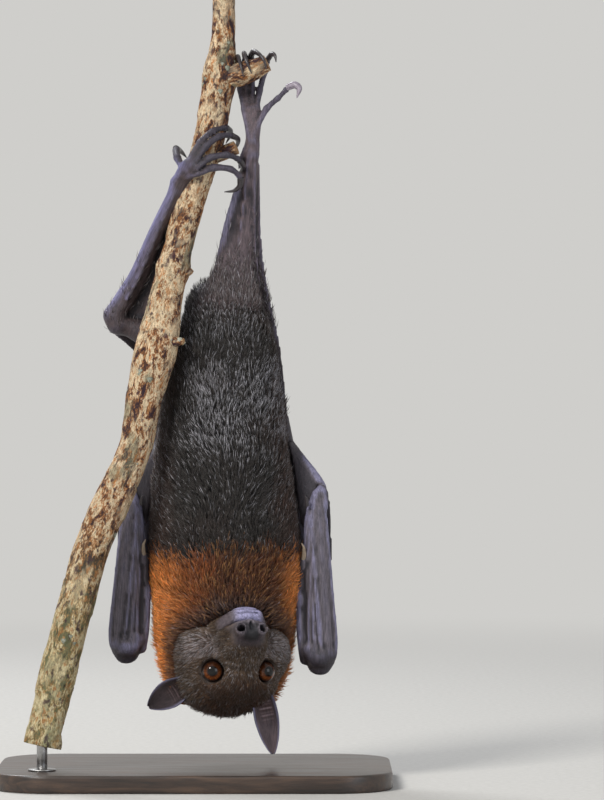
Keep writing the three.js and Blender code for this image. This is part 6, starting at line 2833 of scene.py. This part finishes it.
@dataclass
class Perch:
    """The cut length of branch, with its broken side twigs."""

    sides: int = 84
    rings: int = 36

    def build(self) -> bpy.types.Object:
        """Makes the branch and its lichen.

        Returns:
            The branch.
        """
        tubes = [BarkTube(BRANCH[::-1], self.sides, self.rings, wave=True).tube()]
        tubes += [BarkTube(twig, 40, 14, seed=50 + 7 * k).tube() for k, twig in enumerate(TWIGS)]
        starts = np.cumsum([0] + [len(tube[0]) for tube in tubes[:-1]])
        points = np.vstack([tube[0] for tube in tubes])
        quads = np.vstack([tube[1][0] + start for tube, start in zip(tubes, starts)])
        caps = np.vstack([tube[1][1] + start for tube, start in zip(tubes, starts)])
        cut_quads = np.concatenate([tube[4] for tube in tubes])
        piece = make_object("perch_bark", points, [quads, caps], BarkFinish().material(),
                            {"bark_place": np.vstack([tube[2] for tube in tubes]),
                             "crack": np.concatenate([tube[3] for tube in tubes])})
        piece.data.materials.append(CutWoodFinish().material())
        which = np.concatenate([cut_quads, np.ones(len(caps), bool)]).astype(np.int32)
        piece.data.polygons.foreach_set("material_index", which)
        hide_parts("perch")
        Lichen().build(piece)
        return piece


@dataclass
class Stand:
    """The plain rounded board, the steel pin that holds the branch, and the washer round the pin's foot."""

    corner: float = 34.0
    bevel: float = 1.6
    flat_inset: float = 30.0
    bevel_steps: int = 5
    corner_steps: int = 24
    pin_sides: int = 48
    washer_radius: float = 8.0
    washer_thick: float = 1.0
    pin_edge: float = 0.4
    washer_edge: float = 0.3
    washer_play: float = 0.15
    washer_lift: float = 0.02

    def board(self) -> bpy.types.Object:
        """Makes the board from rings that follow its rounded outline.

        Returns:
            The object.
        """
        low, high = node_box("stand_base")
        middle, half = (low + high) / 2, (high - low) / 2
        bends = np.linspace(math.pi / 2, 0, self.bevel_steps + 1)
        near, far = self.bevel * (1 - np.sin(bends)), self.bevel * (1 - np.cos(bends))
        edges = [*zip(far, low[2] + near), *zip(near, high[2] - far)]
        profile = [(self.flat_inset, low[2]), *edges, (self.flat_inset, high[2])]
        turn = np.linspace(0, 2 * math.pi, 4 * self.corner_steps, endpoint=False)
        quarter = np.floor(turn / (math.pi / 2) + 1e-9).astype(int)
        signs = np.array([(1, 1), (-1, 1), (-1, -1), (1, -1)])[quarter]
        turn = np.array([q * math.pi / 2 + (k % self.corner_steps) / (self.corner_steps - 1) * math.pi / 2
                         for k, q in enumerate(quarter)])
        rings = []
        for inset, z in profile:
            radius = self.corner - inset
            flat = signs * (half[:2] - self.corner) + radius * np.stack([np.cos(turn), np.sin(turn)], -1)
            rings.append(np.column_stack([flat + middle[:2], np.full(len(turn), z)]))
        points = np.vstack([*rings, [[*middle[:2], low[2]]], [[*middle[:2], high[2]]]])
        faces = ring_faces(len(rings), len(turn))
        piece = make_object("stand_board", points, faces, BoardFinish().material())
        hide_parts("stand_base")
        return piece

    def turned(self, name: str, centre: np.ndarray, profile: Rows,
               finish: bpy.types.Material) -> bpy.types.Object:
        """Makes a piece turned about an upright axis.

        Args:
            name: its name.
            centre: a place on the axis.
            profile: rows of radius and height, which run upwards on the outside.
            finish: its material.

        Returns:
            The object.
        """
        turn = np.linspace(0, 2 * math.pi, self.pin_sides, endpoint=False)
        ring = np.stack([np.cos(turn), np.sin(turn)], -1)
        rings = [np.column_stack([centre[:2] + r * ring, np.full(len(turn), z)]) for r, z in profile]
        points = np.vstack([*rings, [[*centre[:2], profile[0][1]]], [[*centre[:2], profile[-1][1]]]])
        return make_object(name, points, ring_faces(len(rings), len(turn)), finish)

    def build(self) -> None:
        """Makes the board, pin and washer."""
        self.board()
        steel = SteelFinish().material()
        low, high = node_box("stand_rod")
        centre, radius = (low + high) / 2, (high[0] - low[0]) / 2
        edge = self.pin_edge
        outline = ((radius - edge, low[2]), (radius, low[2] + edge), (radius, high[2] - edge),
                   (radius - edge, high[2]))
        pin = self.turned("stand_rod_pin", centre, outline, steel)
        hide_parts("stand_rod")
        bottom = node_box("stand_base")[1][2]
        top, edge = bottom + self.washer_thick, self.washer_edge
        inner, outer = radius + self.washer_play, self.washer_radius
        outline = ((inner, bottom + self.washer_lift), (outer - edge, bottom + self.washer_lift),
                   (outer, bottom + edge), (outer, top - edge), (outer - edge, top), (inner, top))
        self.turned("stand_washer", centre, outline, steel)


# ---- studio -----------------------------------------------------------------------------------------


def seen_plainly(tree: bpy.types.NodeTree) -> Socket:
    """Tells the rays that see the room plainly: the camera's, and those that gloss or glass sends on.

    Args:
        tree: the nodes it is for.

    Returns:
        One for those rays, and zero for the rest.
    """
    path = tree.nodes.new("ShaderNodeLightPath").outputs
    total = path["Is Camera Ray"]
    for name in ("Is Glossy Ray", "Is Transmission Ray"):
        larger = tree.nodes.new("ShaderNodeMath")
        larger.operation = "MAXIMUM"
        tree.links.new(total, larger.inputs[0])
        tree.links.new(path[name], larger.inputs[1])
        total = larger.outputs[0]
    return total


@dataclass
class Studio:
    """A wide pale floor that fades into a plain pale room, three soft lamps and the camera."""

    floor_radius: float = 9.0
    floor_corners: int = 96
    fade: tuple[float, float] = (0.75, 1.9)
    room: np.ndarray = paint(207, 206, 203)
    lens: float = 189.5
    camera_place: tuple[float, float, float] = (0.0612, -2.4, 0.2177)
    world: float = 0.42

    def floor(self) -> None:
        """Makes the floor, which takes the room's plain colour far from the model."""
        turn = np.linspace(0, 2 * math.pi, self.floor_corners, endpoint=False)
        rim = np.stack([np.cos(turn), np.sin(turn), np.zeros_like(turn)], -1) * self.floor_radius
        mesh = bpy.data.meshes.new("studio_floor")
        mesh.from_pydata(rim.tolist(), [], [list(range(len(rim)))])
        graph = Graph("studio_floor")
        fibre = graph.noise(graph.here(), 260, 3, 0.6)
        tone = graph.mix(graph.span(fibre, 0.3, 0.7), linear(205, 203, 198), linear(212, 210, 205))
        mesh.materials.append(graph.shade(Base_Color=tone, Roughness=0.9, Specular_IOR_Level=0.1))
        away = graph.add("ShaderNodeVectorMath", {0: graph.here()}, operation="LENGTH").outputs["Value"]
        seen = seen_plainly(graph.tree)
        plain = graph.add("ShaderNodeEmission", {"Color": self.room}).outputs[0]
        share = graph.times(graph.span(away, *self.fade), seen)
        mixed = graph.add("ShaderNodeMixShader", {0: share, 1: graph.shader.outputs[0], 2: plain})
        graph.finish(mixed.outputs[0])
        place_object("studio_floor", mesh)

    def room_light(self) -> None:
        """Lights the room evenly, and shows it as one plain pale colour."""
        world = bpy.data.worlds.new("room")
        world.use_nodes = True
        nodes, links = world.node_tree.nodes, world.node_tree.links
        sky, plain = nodes["Background"], nodes.new("ShaderNodeBackground")
        sky.inputs["Color"].default_value = (0.93, 0.95, 1.0, 1)
        sky.inputs["Strength"].default_value = self.world
        plain.inputs["Color"].default_value = (*self.room.tolist(), 1)
        either = nodes.new("ShaderNodeMixShader")
        links.new(seen_plainly(world.node_tree), either.inputs[0])
        links.new(sky.outputs[0], either.inputs[1])
        links.new(plain.outputs[0], either.inputs[2])
        links.new(either.outputs[0], nodes["World Output"].inputs[0])
        bpy.context.scene.world = world

    def lamp(self, name: str, place: Sequence[float], aim: Sequence[float], size: float, power: float,
             colour: Sequence[float]) -> None:
        """Hangs a soft square lamp.

        Args:
            name: its name.
            place: where it hangs.
            aim: where it points.
            size: its width.
            power: its power in watts.
            colour: its colour.
        """
        data = bpy.data.lights.new(name, "AREA")
        data.shape, data.size, data.energy, data.color = "SQUARE", size, power, colour
        lamp = place_object(name, data)
        lamp.location = place
        lamp.rotation_euler = (Vector(aim) - Vector(place)).to_track_quat("-Z", "Y").to_euler()

    def build(self) -> None:
        """Sets the floor, the room's light, the lamps and the camera."""
        self.floor()
        self.room_light()
        aim = (0.02, 0, 0.2)
        self.lamp("key", (-1.1, -1.5, 1.5), aim, 0.6, 36, (1.0, 0.98, 0.94))
        self.lamp("fill", (1.6, -1.6, 0.6), aim, 1.2, 10, (0.88, 0.93, 1.0))
        self.lamp("rim", (-0.7, 1.0, 1.5), aim, 0.6, 16, (0.95, 0.97, 1.0))
        scene = bpy.context.scene
        scene.view_settings.view_transform = "Standard"
        data = bpy.data.cameras.new("camera")
        data.sensor_fit, data.sensor_width, data.sensor_height, data.lens = "VERTICAL", 36, 36, self.lens
        data.clip_start, data.clip_end = 0.1, 20
        camera = place_object("camera", data)
        camera.location = self.camera_place
        camera.rotation_euler = (math.pi / 2, 0, 0)
        scene.camera = camera


def main() -> None:
    """Builds the bat, its perch, its stand and the studio."""
    logging.basicConfig(level=logging.INFO, format="%(message)s")
    Bat().build()
    Perch().build()
    Stand().build()
    Studio().build()


if __name__ == "__main__":
    main()
